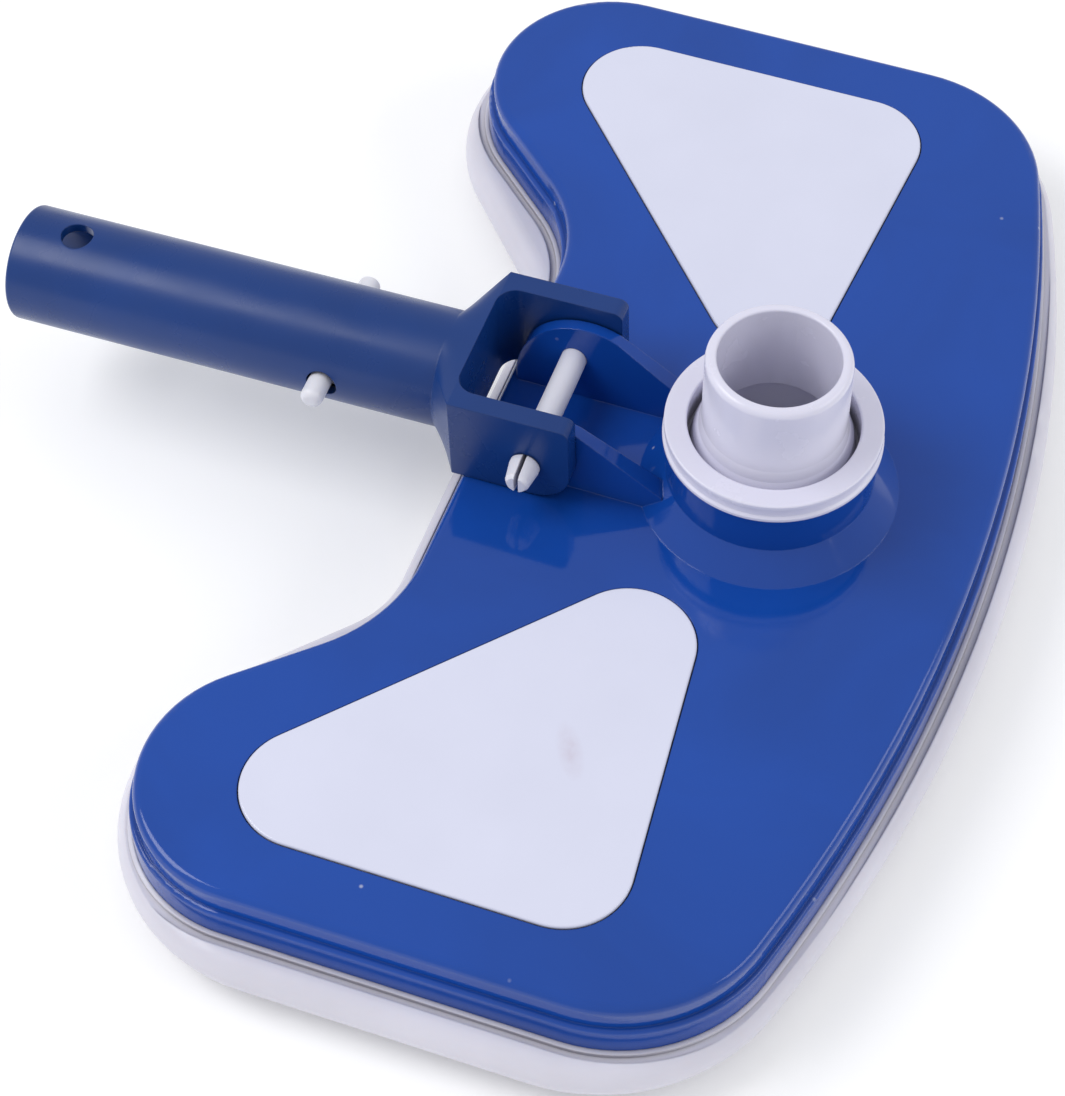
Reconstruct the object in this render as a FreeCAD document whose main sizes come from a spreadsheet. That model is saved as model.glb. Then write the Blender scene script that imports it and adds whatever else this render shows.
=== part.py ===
import FreeCAD, Part
import math
import os

import Sketcher

# Manual pool vacuum head, in millimetres. Every piece is drawn in the head frame: the origin is
# where the hose axis meets the flat top face, +X runs across the head, +Y to the handle side and
# +Z up. The pieces' placements then move the head so that the origin of the finished part lies
# under the middle of its bounding box, on the floor that the bristles stand on.

Vector = FreeCAD.Vector
doc = FreeCAD.newDocument("vacuum_head")

# ---------------------------------------------------------------------------------------------
# Driving dimensions
# ---------------------------------------------------------------------------------------------
sizes = {
    # shell outline at the top face; lengths are from the hose axis
    "side_half": 165.0,          # half width, to the straight side
    "front_y": 59.4,             # front wall ahead of the hose axis
    "front_radius": 482.0,       # long convex front arc
    "corner_radius": 42.0,       # front corners
    "lobe_radius": 35.0,         # rear lobes
    "lobe_y": 88.4,              # centre of the rear lobes
    "slant_angle": 47.7,         # inner side of each lobe, from the X direction
    "hollow_radius": 45.0,       # hollow between a lobe and the straight rear
    "rear_y": 78.4,              # straight rear wall
    # bumper outline at its widest
    "bumper_side_half": 176.0,
    "bumper_front_y": 68.2,
    "bumper_front_radius": 440.0,
    "bumper_corner_radius": 53.0,
    "bumper_lobe_radius": 50.0,
    "bumper_lobe_y": 80.2,
    "bumper_slant_angle": 42.0,
    "bumper_hollow_radius": 28.0,
    "bumper_rear_y": 86.8,
    # shell section, depths measured down from the top face
    "top_edge_radius": 2.5,
    "ledge_depth": 7.8,
    "ledge_step": 1.6,
    "ledge_edge_radius": 1.1,
    "lip_depth": 18.2,
    "skirt_depth": 27.0,
    "skirt_inset": 1.0,
    "cavity_inset": 3.5,
    "top_thickness": 2.5,
    # bumper section
    "bumper_top_depth": 16.3,
    "bumper_height": 12.4,
    "bumper_round": 6.15,
    "bumper_hook": 3.5,
    "bead_width": 1.3,
    "bead_groove": 1.9,
    "bead_groove_depth": 1.3,
    # hose neck and swivel
    "neck_radius": 27.7,
    "neck_foot_radius": 34.6,
    "neck_foot_height": 7.5,
    "neck_height": 21.0,
    "neck_bore": 21.3,
    "seat_radius": 25.8,
    "seat_height": 12.0,
    "spigot_radius": 19.0,
    "spigot_bore": 16.0,
    "spigot_top": 51.7,
    "spigot_tail_radius": 21.24,
    "spigot_flange_radius": 25.4,
    "ring_radius": 28.6,
    "ring_hole": 22.6,
    "ring_top": 26.8,
    # handle lugs and pivot
    "pivot_y": 59.7,
    "pivot_z": 12.66,
    "lug_outer_half": 18.4,
    "lug_gap_foot": 12.2,
    "lug_gap_top": 15.3,
    "lug_radius": 19.4,
    "lug_centre_y": 56.5,
    "lug_centre_z": 4.2,
    "pin_radius": 3.55,
    "pin_hole_radius": 3.6,
    # handle, drawn lying along +Y from its pivot
    "handle_rest_angle": -1.4,
    "fork_half": 24.5,
    "window_half": 18.9,
    "fork_front": 12.0,
    "fork_top": 16.1,
    "fork_bottom": 12.0,
    "fork_heel_radius": 10.8,
    "window_end": 21.7,
    "shoulder_start": 21.4,
    "shoulder_end": 29.8,
    "tube_radius": 16.1,
    "tube_bore": 13.4,
    "tube_end": 155.2,
    "bore_start": 34.0,
    "bolt_hole_y": 138.4,
    "bolt_hole_radius": 4.5,
    "button_hole_y": 61.4,
    "button_hole_radius": 4.3,
    # snap clip inside the handle tube
    "button_radius": 3.1,
    "button_y": 62.1,
    "button_reach": 22.8,
    "clip_hinge_y": 122.0,
    "clip_hinge_x": 3.0,
    "clip_leg_thickness": 1.2,
    "clip_leg_height": 9.0,
    # weight covers and weights
    "cover_side_x": 147.0,
    "cover_rear_y": 118.0,
    "cover_front_y": -7.0,
    "cover_tip_x": 20.0,
    "cover_tip_y": 4.6,
    "cover_radius": 17.5,
    "cover_gap": 0.35,
    "cover_recess": 2.2,
    "cover_proud": 0.7,
    "weight_pocket_inset": 2.0,
    "weight_pocket_depth": 10.6,
    "weight_height": 8.0,
    "weight_gap": 0.5,
    "pocket_wall": 1.8,
    # base plate, brushes and floor
    "plate_top_depth": 21.5,
    "plate_thickness": 2.5,
    "mouth_half": 80.0,
    "mouth_radius": 12.0,
    "bar_width": 9.0,
    "bar_height": 3.5,
    "bristle_width": 6.0,
    "floor_depth": 34.0,
    "screw_boss_radius": 4.0,
    "screw_radius": 1.6,
}

sheet = doc.addObject("Spreadsheet::Sheet", "Sizes")
for row, (alias, value) in enumerate(sizes.items(), start=1):
    sheet.set(f"A{row}", alias)
    sheet.set(f"B{row}", str(value))
    sheet.setAlias(f"B{row}", alias)
doc.recompute()

sub_parts = []


def number(expression):
    """The value of an expression over the sheet, as a plain number."""
    value = sheet.evalExpression(expression)
    return float(getattr(value, "Value", value))


# Middle of the finished part's box along Y: from the bumper's front to the handle's end.
rest = math.radians(sizes["handle_rest_angle"])
handle_end_y = (sizes["pivot_y"] + sizes["tube_end"] * math.cos(rest)
                + (sizes["tube_radius"] - 1.0) * math.sin(-rest))
HEAD = FreeCAD.Placement(
    Vector(0, -(handle_end_y - sizes["bumper_front_y"]) / 2, sizes["floor_depth"]), FreeCAD.Rotation())
HANDLE = HEAD * FreeCAD.Placement(
    Vector(0, sizes["pivot_y"], sizes["pivot_z"]),
    FreeCAD.Rotation(Vector(1, 0, 0), sizes["handle_rest_angle"]))


# ---------------------------------------------------------------------------------------------
# Sketch and feature helpers
# ---------------------------------------------------------------------------------------------
def new_body(label, placement=HEAD):
    body = doc.addObject("PartDesign::Body", "Body_" + label)
    body.Label = label
    body.Placement = placement
    sub_parts.append(body)
    return body


def new_sketch(body, plane, offset="0"):
    """A sketch on one of the body's own planes, moved along the plane's normal."""
    sketch = body.newObject("Sketcher::SketchObject", "Sketch")
    support = next(item for item in body.Origin.OriginFeatures if item.Role == plane)
    sketch.AttachmentSupport = [(support, "")]
    sketch.MapMode = "FlatFace"
    sketch.setExpression("AttachmentOffset.Base.z", offset)
    return sketch


def bind(sketch, constraint, expression):
    """Add a dimension whose value comes from the sheet."""
    index = sketch.addConstraint(constraint)
    sketch.setExpression(f"Constraints[{index}]", expression)


def place_point(sketch, geometry, point, x, y):
    """Fix a sketch point at x, y from the sketch origin, both expressions."""
    bind(sketch, Sketcher.Constraint("DistanceX", -1, 1, geometry, point, number(x)), x)
    bind(sketch, Sketcher.Constraint("DistanceY", -1, 1, geometry, point, number(y)), y)


def add_circle(sketch, x, y, radius):
    centre = Vector(number(x), number(y), 0)
    circle = sketch.addGeometry(Part.Circle(centre, Vector(0, 0, 1), number(radius)))
    place_point(sketch, circle, 3, x, y)
    bind(sketch, Sketcher.Constraint("Radius", circle, number(radius)), radius)


def add_polygon(sketch, corners):
    """A closed chain of lines through corners, each a pair of expressions."""
    points = [Vector(number(x), number(y), 0) for x, y in corners]
    lines = []
    for start, end in zip(points, points[1:] + points[:1]):
        lines.append(sketch.addGeometry(Part.LineSegment(start, end)))
    for index, line in enumerate(lines):
        after = lines[(index + 1) % len(lines)]
        sketch.addConstraint(Sketcher.Constraint("Coincident", line, 2, after, 1))
        place_point(sketch, line, 1, *corners[index])
    return lines


def add_rounded_triangle(sketch, side, inset):
    """Weight-cover outline: two corners by the head's side and one by the neck."""
    radius = sizes["cover_radius"] - inset
    corners = [Vector(side * sizes["cover_side_x"], sizes["cover_rear_y"], 0),
               Vector(side * sizes["cover_side_x"], sizes["cover_front_y"], 0),
               Vector(side * sizes["cover_tip_x"], sizes["cover_tip_y"], 0)]
    centres = []
    for index, corner in enumerate(corners):
        before = (corners[index - 1] - corner).normalize()
        after = (corners[(index + 1) % 3] - corner).normalize()
        half = before.getAngle(after) / 2
        centres.append(corner + (before + after).normalize() * (sizes["cover_radius"] / math.sin(half)))
    arcs = []
    for index, centre in enumerate(centres):
        incoming = (centre - centres[index - 1]).normalize()
        outgoing = (centres[(index + 1) % 3] - centre).normalize()
        outward = [Vector(0, 0, 1).cross(run) * side * radius for run in (incoming, outgoing)]
        angles = [math.atan2(step.y, step.x) for step in outward]
        if side < 0:
            angles.reverse()
        while angles[0] > angles[1]:
            angles[0] -= 2 * math.pi
        if angles[1] - angles[0] > math.pi:
            angles = [angles[1], angles[0] + 2 * math.pi]
        circle = Part.Circle(centre, Vector(0, 0, 1), radius)
        arcs.append((circle, angles, [centre + step for step in outward]))
    first_ends = []
    for circle, angles, ends in arcs:
        index = sketch.addGeometry(Part.ArcOfCircle(circle, *angles))
        sketch.addConstraint(Sketcher.Constraint("Radius", index, radius))
        begins_here = sketch.getPoint(index, 1).distanceToPoint(ends[0]) < 1e-3
        first_ends.append((index, 1 if begins_here else 2, 2 if begins_here else 1, ends))
    for position, (arc, start, end, ends) in enumerate(first_ends):
        following, next_start, _, next_ends = first_ends[(position + 1) % 3]
        line = sketch.addGeometry(Part.LineSegment(ends[1], next_ends[0]))
        sketch.addConstraint(Sketcher.Constraint("Tangent", arc, end, line, 1))
        sketch.addConstraint(Sketcher.Constraint("Tangent", line, 2, following, next_start))
        centre = sketch.getPoint(arc, 3)
        sketch.addConstraint(Sketcher.Constraint("DistanceX", -1, 1, arc, 3, centre.x))
        sketch.addConstraint(Sketcher.Constraint("DistanceY", -1, 1, arc, 3, centre.y))


def head_outline(sketch, family="", grow="0"):
    """Butterfly outline: convex front arc, round corners, straight sides, two rear lobes with
    slanting inner sides, and a straight rear between two hollows. grow moves it outwards."""
    def size(name, sign="+"):
        return f"Sizes.{family}{name} {sign} ({grow})"

    side = number(size("side_half"))
    front = number(size("front_y"))
    front_radius = number(size("front_radius"))
    corner = number(size("corner_radius"))
    lobe = number(size("lobe_radius"))
    lobe_y = sizes[family + "lobe_y"]
    slant = math.radians(sizes[family + "slant_angle"])
    hollow = number(size("hollow_radius", "-"))
    rear = number(size("rear_y"))

    front_centre = Vector(0, front_radius - front, 0)
    corner_x = side - corner
    corner_y = front_centre.y - math.sqrt((front_radius - corner) ** 2 - corner_x ** 2)
    corner_turn = math.atan2(corner_y - front_centre.y, corner_x)
    lobe_x = side - lobe
    normal = Vector(-math.sin(slant), math.cos(slant), 0)
    hollow_y = rear + hollow
    hollow_x = lobe_x + ((lobe + hollow) - (hollow_y - lobe_y) * normal.y) / normal.x
    quarter = math.pi / 2

    def arc(x, y, radius, start, end):
        circle = Part.Circle(Vector(x, y, 0), Vector(0, 0, 1), radius)
        return sketch.addGeometry(Part.ArcOfCircle(circle, start, end))

    def line(x1, y1, x2, y2):
        return sketch.addGeometry(Part.LineSegment(Vector(x1, y1, 0), Vector(x2, y2, 0)))

    lobe_end = Vector(lobe_x, lobe_y, 0) + normal * lobe
    hollow_end = Vector(hollow_x, hollow_y, 0) - normal * hollow
    front_arc = arc(0, front_centre.y, front_radius, -math.pi - corner_turn, corner_turn)
    right_corner = arc(corner_x, corner_y, corner, corner_turn, 0)
    right_side = line(side, corner_y, side, lobe_y)
    right_lobe = arc(lobe_x, lobe_y, lobe, 0, quarter + slant)
    right_slant = line(lobe_end.x, lobe_end.y, hollow_end.x, hollow_end.y)
    right_hollow = arc(hollow_x, hollow_y, hollow, 3 * quarter, 3 * quarter + slant)
    rear_line = line(hollow_x, rear, -hollow_x, rear)
    left_hollow = arc(-hollow_x, hollow_y, hollow, 3 * quarter - slant, 3 * quarter)
    left_slant = line(-hollow_end.x, hollow_end.y, -lobe_end.x, lobe_end.y)
    left_lobe = arc(-lobe_x, lobe_y, lobe, quarter - slant, math.pi)
    left_side = line(-side, lobe_y, -side, corner_y)
    left_corner = arc(-corner_x, corner_y, corner, math.pi, math.pi * 2 - (math.pi + corner_turn))

    # Arcs run anticlockwise, so a hollow is met at its end and left at its start.
    joints = [(front_arc, 2, right_corner, 1), (right_corner, 2, right_side, 1),
              (right_side, 2, right_lobe, 1), (right_lobe, 2, right_slant, 1),
              (right_slant, 2, right_hollow, 2), (right_hollow, 1, rear_line, 1),
              (rear_line, 2, left_hollow, 2), (left_hollow, 1, left_slant, 1),
              (left_slant, 2, left_lobe, 1), (left_lobe, 2, left_side, 1),
              (left_side, 2, left_corner, 1), (left_corner, 2, front_arc, 1)]
    for first, first_end, second, second_end in joints:
        sketch.addConstraint(Sketcher.Constraint("Tangent", first, first_end, second, second_end))
    sketch.addConstraint(Sketcher.Constraint("PointOnObject", front_arc, 3, -2))
    bind(sketch, Sketcher.Constraint("Radius", front_arc, front_radius), size("front_radius"))
    bind(sketch, Sketcher.Constraint("DistanceY", -1, 1, front_arc, 3, front_centre.y),
         f"Sizes.{family}front_radius - Sizes.{family}front_y")
    for index in (right_corner, left_corner):
        bind(sketch, Sketcher.Constraint("Radius", index, corner), size("corner_radius"))
    for index in (right_lobe, left_lobe):
        bind(sketch, Sketcher.Constraint("Radius", index, lobe), size("lobe_radius"))
        bind(sketch, Sketcher.Constraint("DistanceY", -1, 1, index, 3, lobe_y),
             f"Sizes.{family}lobe_y")
    for index in (right_hollow, left_hollow):
        bind(sketch, Sketcher.Constraint("Radius", index, hollow), size("hollow_radius", "-"))
    for index, sign in ((right_side, 1), (left_side, -1)):
        sketch.addConstraint(Sketcher.Constraint("Vertical", index))
        bind(sketch, Sketcher.Constraint("DistanceX", -1, 1, index, 1, sign * side),
             f"{sign} * ({size('side_half')})")
    for index, angle, expression in (
            (right_slant, slant - math.pi, f"(Sizes.{family}slant_angle - 180) * 1 deg"),
            (left_slant, math.pi - slant, f"(180 - Sizes.{family}slant_angle) * 1 deg")):
        bind(sketch, Sketcher.Constraint("Angle", index, angle), expression)
    sketch.addConstraint(Sketcher.Constraint("Horizontal", rear_line))
    bind(sketch, Sketcher.Constraint("DistanceY", -1, 1, rear_line, 1, rear), size("rear_y"))


def pad(body, sketch, length, down=False, midplane=False):
    feature = body.newObject("PartDesign::Pad", "Pad")
    feature.Profile = sketch
    feature.Reversed = down
    feature.Midplane = midplane
    feature.setExpression("Length", length)
    doc.recompute()
    return feature


def pocket(body, sketch, depth, up=False, midplane=False):
    """Cut along the sketch; the volume has to fall, or the cut points away from the solid."""
    before = body.Shape.Volume
    feature = body.newObject("PartDesign::Pocket", "Pocket")
    feature.Profile = sketch
    feature.Reversed = up
    feature.Midplane = midplane
    feature.setExpression("Length", depth)
    doc.recompute()
    if not body.Shape.Volume < before:
        raise RuntimeError(body.Label + ": a pocket removed nothing")
    return feature


def revolve(body, sketch, axis="V_Axis", cut=False):
    before = body.Shape.Volume if cut else 0
    feature = body.newObject("PartDesign::Groove" if cut else "PartDesign::Revolution", "Turned")
    feature.Profile = sketch
    feature.ReferenceAxis = (sketch, [axis])
    feature.Angle = 360
    doc.recompute()
    if cut and not body.Shape.Volume < before:
        raise RuntimeError(body.Label + ": a groove removed nothing")
    return feature


def fillet(body, radius, chosen):
    """Round the edges of the body's tip that chosen(edge) picks."""
    tip = body.Tip
    names = [f"Edge{index}" for index, edge in enumerate(tip.Shape.Edges, start=1) if chosen(edge)]
    if not names:
        raise RuntimeError(body.Label + ": no edge to round")
    feature = body.newObject("PartDesign::Fillet", "Fillet")
    feature.Base = (tip, names)
    feature.setExpression("Radius", radius)
    doc.recompute()
    if "Invalid" in feature.State or feature.Shape.isNull() or not feature.Shape.isValid():
        raise RuntimeError(body.Label + ": fillet failed on " + ", ".join(names))
    return feature


def at_level(edge, z, tolerance=0.01):
    box = edge.BoundBox
    return abs(box.ZMin - z) < tolerance and abs(box.ZMax - z) < tolerance


# ---------------------------------------------------------------------------------------------
# body_shell: blue moulded shell with hose neck, handle lugs and weight pockets
# ---------------------------------------------------------------------------------------------
shell = new_body("body_shell")
layers = [("-Sizes.skirt_depth", "-Sizes.skirt_inset", "Sizes.skirt_depth - Sizes.lip_depth"),
          ("-Sizes.lip_depth", "Sizes.ledge_step", "Sizes.lip_depth - Sizes.ledge_depth"),
          ("-Sizes.ledge_depth", "0", "Sizes.ledge_depth")]
for level, grow, height in layers:
    layer = new_sketch(shell, "XY_Plane", level)
    head_outline(layer, grow=grow)
    pad(shell, layer, height)
fillet(shell, "Sizes.top_edge_radius", lambda edge: at_level(edge, 0))


def on_lip_edge(edge):
    """Outer top edge of the lower lip, clear of the wall that stands on it."""
    if not at_level(edge, -sizes["ledge_depth"]):
        return False
    point = edge.valueAt((edge.FirstParameter + edge.LastParameter) / 2)
    wall = Part.Vertex(point)
    top_edges = [item for item in shell.Tip.Shape.Edges if at_level(item, -sizes["lip_depth"])]
    return min(wall.distToShape(item)[0] for item in top_edges) < (
        sizes["lip_depth"] - sizes["ledge_depth"] + 0.02)


fillet(shell, "Sizes.ledge_edge_radius", on_lip_edge)

# The lugs start as one block with their side profile; the gap between them is cut next.
lug_profile = new_sketch(shell, "YZ_Plane")
lug_centre = Vector(sizes["lug_centre_y"], sizes["lug_centre_z"], 0)
slope_start = math.radians(117)
slope_point = lug_centre + Vector(math.cos(slope_start), math.sin(slope_start), 0) * sizes["lug_radius"]
slope_end = Vector(24.0, slope_point.y - (slope_point.x - 24.0) * math.tan(math.radians(34)), 0)
foot_angle = math.asin((-1.0 - lug_centre.y) / sizes["lug_radius"])
foot_point = lug_centre + Vector(math.cos(foot_angle), math.sin(foot_angle), 0) * sizes["lug_radius"]
lug_circle = Part.Circle(lug_centre, Vector(0, 0, 1), sizes["lug_radius"])
lug_arc = lug_profile.addGeometry(Part.ArcOfCircle(lug_circle, foot_angle, slope_start))
lug_slope = lug_profile.addGeometry(Part.LineSegment(slope_point, slope_end))
lug_front = lug_profile.addGeometry(Part.LineSegment(slope_end, Vector(24.0, -1.0, 0)))
lug_foot = lug_profile.addGeometry(Part.LineSegment(Vector(24.0, -1.0, 0), foot_point))
for first, first_end, second, second_end in ((lug_arc, 2, lug_slope, 1), (lug_slope, 2, lug_front, 1),
                                             (lug_front, 2, lug_foot, 1), (lug_foot, 2, lug_arc, 1)):
    lug_profile.addConstraint(
        Sketcher.Constraint("Coincident", first, first_end, second, second_end))
bind(lug_profile, Sketcher.Constraint("Radius", lug_arc, sizes["lug_radius"]), "Sizes.lug_radius")
place_point(lug_profile, lug_arc, 3, "Sizes.lug_centre_y", "Sizes.lug_centre_z")
pad(shell, lug_profile, "2 * Sizes.lug_outer_half", midplane=True)

gap = new_sketch(shell, "XZ_Plane", "-90")
add_polygon(gap, [("-Sizes.lug_gap_foot", "0"), ("Sizes.lug_gap_foot", "0"),
                  ("Sizes.lug_gap_top + 0.4", "28"), ("-Sizes.lug_gap_top - 0.4", "28")])
pocket(shell, gap, "90 - 15", up=True)

neck = new_sketch(shell, "XZ_Plane")
add_polygon(neck, [("0", "-1"), ("Sizes.neck_foot_radius", "-1"), ("Sizes.neck_foot_radius", "0"),
                   ("Sizes.neck_radius", "Sizes.neck_foot_height"),
                   ("Sizes.neck_radius", "Sizes.neck_height"), ("0", "Sizes.neck_height")])
revolve(shell, neck)

# The hollow underside, then the weight pockets and screw bosses that hang into it.
cavity = new_sketch(shell, "XY_Plane", "-Sizes.top_thickness")
head_outline(cavity, grow="-Sizes.cavity_inset")
pocket(shell, cavity, "Sizes.skirt_depth")

for side in (1, -1):
    boss = new_sketch(shell, "XY_Plane", "-Sizes.top_thickness + 0.5")
    add_rounded_triangle(boss, side, sizes["weight_pocket_inset"] - sizes["pocket_wall"])
    pad(shell, boss, "Sizes.weight_pocket_depth + Sizes.pocket_wall - Sizes.top_thickness + 0.5",
        down=True)
screw_places = [(0, -46), (140, -22), (-140, -22), (130, 109), (-130, 109), (60, 64), (-60, 64)]
screw_bosses = new_sketch(shell, "XY_Plane", "-Sizes.plate_top_depth")
for x, y in screw_places:
    add_circle(screw_bosses, str(x), str(y), "Sizes.screw_boss_radius")
pad(shell, screw_bosses, "Sizes.plate_top_depth - Sizes.top_thickness + 0.5")
pilot_holes = new_sketch(shell, "XY_Plane", "-Sizes.plate_top_depth")
for x, y in screw_places:
    add_circle(pilot_holes, str(x), str(y), "Sizes.screw_radius + 0.05")
pocket(shell, pilot_holes, "10", up=True)
for side in (1, -1):
    for inset, depth in ((-sizes["cover_gap"], "Sizes.cover_recess"),
                         (sizes["weight_pocket_inset"], "Sizes.weight_pocket_depth")):
        recess = new_sketch(shell, "XY_Plane")
        add_rounded_triangle(recess, side, inset)
        pocket(shell, recess, depth)

# Stepped bore of the neck: the running bore and the seat for seal, flange and ring.
bore = new_sketch(shell, "XZ_Plane")
add_polygon(bore, [("0", "-15"), ("Sizes.neck_bore", "-15"), ("Sizes.neck_bore", "Sizes.seat_height"),
                   ("Sizes.seat_radius", "Sizes.seat_height"),
                   ("Sizes.seat_radius", "Sizes.neck_height + 1"), ("0", "Sizes.neck_height + 1")])
revolve(shell, bore, cut=True)
pin_hole = new_sketch(shell, "YZ_Plane")
add_circle(pin_hole, "Sizes.pivot_y", "Sizes.pivot_z", "Sizes.pin_hole_radius")
pocket(shell, pin_hole, "60", midplane=True)

# ---------------------------------------------------------------------------------------------
# bumper: soft white vinyl rim gripped on the shell's skirt
# ---------------------------------------------------------------------------------------------
bumper = new_body("bumper")
rim = new_sketch(bumper, "XY_Plane", "-Sizes.bumper_top_depth")
head_outline(rim, family="bumper_")
pad(bumper, rim, "Sizes.bumper_height", down=True)
fillet(bumper, "Sizes.bumper_round",
       lambda edge: at_level(edge, -sizes["bumper_top_depth"])
       or at_level(edge, -sizes["bumper_top_depth"] - sizes["bumper_height"]))
skirt_space = new_sketch(bumper, "XY_Plane", "-Sizes.skirt_depth")
head_outline(skirt_space, grow="-Sizes.skirt_inset")
pocket(bumper, skirt_space, "Sizes.skirt_depth", up=True)
lip_space = new_sketch(bumper, "XY_Plane", "-Sizes.lip_depth")
head_outline(lip_space, grow="Sizes.ledge_step")
pocket(bumper, lip_space, "Sizes.lip_depth", up=True)
open_middle = new_sketch(bumper, "XY_Plane", "-Sizes.bumper_top_depth")
head_outline(open_middle, grow="-Sizes.bumper_hook")
pocket(bumper, open_middle, "Sizes.bumper_height + 5")
bead_cut = new_sketch(bumper, "XY_Plane", "-Sizes.bumper_top_depth")
head_outline(bead_cut, grow="Sizes.ledge_step + Sizes.bead_width")
head_outline(bead_cut, grow="Sizes.ledge_step + Sizes.bead_width + Sizes.bead_groove")
pocket(bumper, bead_cut, "Sizes.bead_groove_depth")

# ---------------------------------------------------------------------------------------------
# base_plate: underside panel with the suction mouth, screwed up into the shell
# ---------------------------------------------------------------------------------------------
plate = new_body("base_plate")
panel = new_sketch(plate, "XY_Plane", "-Sizes.plate_top_depth")
head_outline(panel, grow="-Sizes.cavity_inset - 0.1")
pad(plate, panel, "Sizes.plate_thickness", down=True)
mouth = new_sketch(plate, "XY_Plane", "-Sizes.plate_top_depth")
mouth_half = "Sizes.mouth_half"
mouth_radius = number("Sizes.mouth_radius")
straight = number(mouth_half) - mouth_radius
mouth_ends = []
for sign, start in ((1, -math.pi / 2), (-1, math.pi / 2)):
    end_circle = Part.Circle(Vector(sign * straight, 0, 0), Vector(0, 0, 1), mouth_radius)
    mouth_ends.append(mouth.addGeometry(Part.ArcOfCircle(end_circle, start, start + math.pi)))
mouth_sides = [
    mouth.addGeometry(Part.LineSegment(Vector(straight, mouth_radius, 0),
                                       Vector(-straight, mouth_radius, 0))),
    mouth.addGeometry(Part.LineSegment(Vector(-straight, -mouth_radius, 0),
                                       Vector(straight, -mouth_radius, 0)))]
for first, second in ((mouth_ends[0], mouth_sides[0]), (mouth_sides[0], mouth_ends[1]),
                      (mouth_ends[1], mouth_sides[1]), (mouth_sides[1], mouth_ends[0])):
    mouth.addConstraint(Sketcher.Constraint("Coincident", first, 2, second, 1))
for index, sign in zip(mouth_ends, (1, -1)):
    place_point(mouth, index, 3, f"{sign} * (Sizes.mouth_half - Sizes.mouth_radius)", "0")
    bind(mouth, Sketcher.Constraint("Radius", index, mouth_radius), "Sizes.mouth_radius")
pocket(plate, mouth, "Sizes.plate_thickness + 1")
screw_holes = new_sketch(plate, "XY_Plane", "-Sizes.plate_top_depth")
for x, y in screw_places:
    add_circle(screw_holes, str(x), str(y), "Sizes.screw_radius + 0.2")
pocket(plate, screw_holes, "Sizes.plate_thickness + 1")
# Guide ribs on the underside lead the water from the wings to the mouth.
ribs = new_sketch(plate, "XY_Plane", "-Sizes.plate_top_depth - Sizes.plate_thickness")
for side in (1, -1):
    for near_y, far_y in ((20, 52), (17, 26), (-17, -26)):
        start = Vector(side * 62, near_y, 0)
        end = Vector(side * 138, far_y, 0)
        across = Vector(0, 0, 1).cross((end - start).normalize()) * 0.8
        corners = [start - across, end - across, end + across, start + across]
        add_polygon(ribs, [(f"{point.x:.4f}", f"{point.y:.4f}") for point in corners])
pad(plate, ribs, "3", down=True)

# ---------------------------------------------------------------------------------------------
# cover_plate_* and weight_*: white covers over the cast-iron ballast in the wings
# ---------------------------------------------------------------------------------------------
for side, name in ((1, "right"), (-1, "left")):
    cover = new_body("cover_plate_" + name)
    face = new_sketch(cover, "XY_Plane", "-Sizes.cover_recess")
    add_rounded_triangle(face, side, 0)
    pad(cover, face, "Sizes.cover_recess + Sizes.cover_proud")
    fillet(cover, "0.65", lambda edge: at_level(edge, sizes["cover_proud"]))

    weight = new_body("weight_" + name)
    slab = new_sketch(weight, "XY_Plane", "-Sizes.weight_pocket_depth")
    add_rounded_triangle(slab, side, sizes["weight_pocket_inset"] + sizes["weight_gap"])
    pad(weight, slab, "Sizes.weight_height")
    fillet(weight, "0.8", lambda edge: at_level(
        edge, sizes["weight_height"] - sizes["weight_pocket_depth"]))

# ---------------------------------------------------------------------------------------------
# hose_spigot, spigot_seal and retaining_ring: the swivelling hose joint
# ---------------------------------------------------------------------------------------------
spigot = new_body("hose_spigot")
turned = new_sketch(spigot, "XZ_Plane")
add_polygon(turned, [
    ("Sizes.spigot_bore + 2.5", "-1.5"), ("Sizes.spigot_tail_radius", "-1.5"),
    ("Sizes.spigot_tail_radius", "14.0"), ("Sizes.spigot_flange_radius", "14.0"),
    ("Sizes.spigot_flange_radius", "17.3"), ("Sizes.ring_hole - 0.6", "17.3"),
    ("Sizes.ring_hole - 1.6", "22.5"), ("Sizes.spigot_radius + 0.6", "25.5"),
    ("Sizes.spigot_radius", "29.0"), ("Sizes.spigot_radius", "Sizes.spigot_top"),
    ("Sizes.spigot_bore", "Sizes.spigot_top"), ("Sizes.spigot_bore", "22.7"),
    ("Sizes.spigot_bore + 2.5", "22.7")])
revolve(spigot, turned)
fillet(spigot, "2.0", lambda edge: at_level(edge, sizes["spigot_top"])
       and edge.BoundBox.XLength > 2 * sizes["spigot_bore"] + 3)
fillet(spigot, "0.6", lambda edge: at_level(edge, sizes["spigot_top"])
       and edge.BoundBox.XLength < 2 * sizes["spigot_bore"] + 0.1)

seal = new_body("spigot_seal")
washer = new_sketch(seal, "XZ_Plane")
add_polygon(washer, [("Sizes.neck_bore + 0.3", "Sizes.seat_height"),
                     ("Sizes.seat_radius - 0.2", "Sizes.seat_height"),
                     ("Sizes.seat_radius - 0.2", "Sizes.seat_height + 1.7"),
                     ("Sizes.neck_bore + 0.3", "Sizes.seat_height + 1.7")])
revolve(seal, washer)

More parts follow.
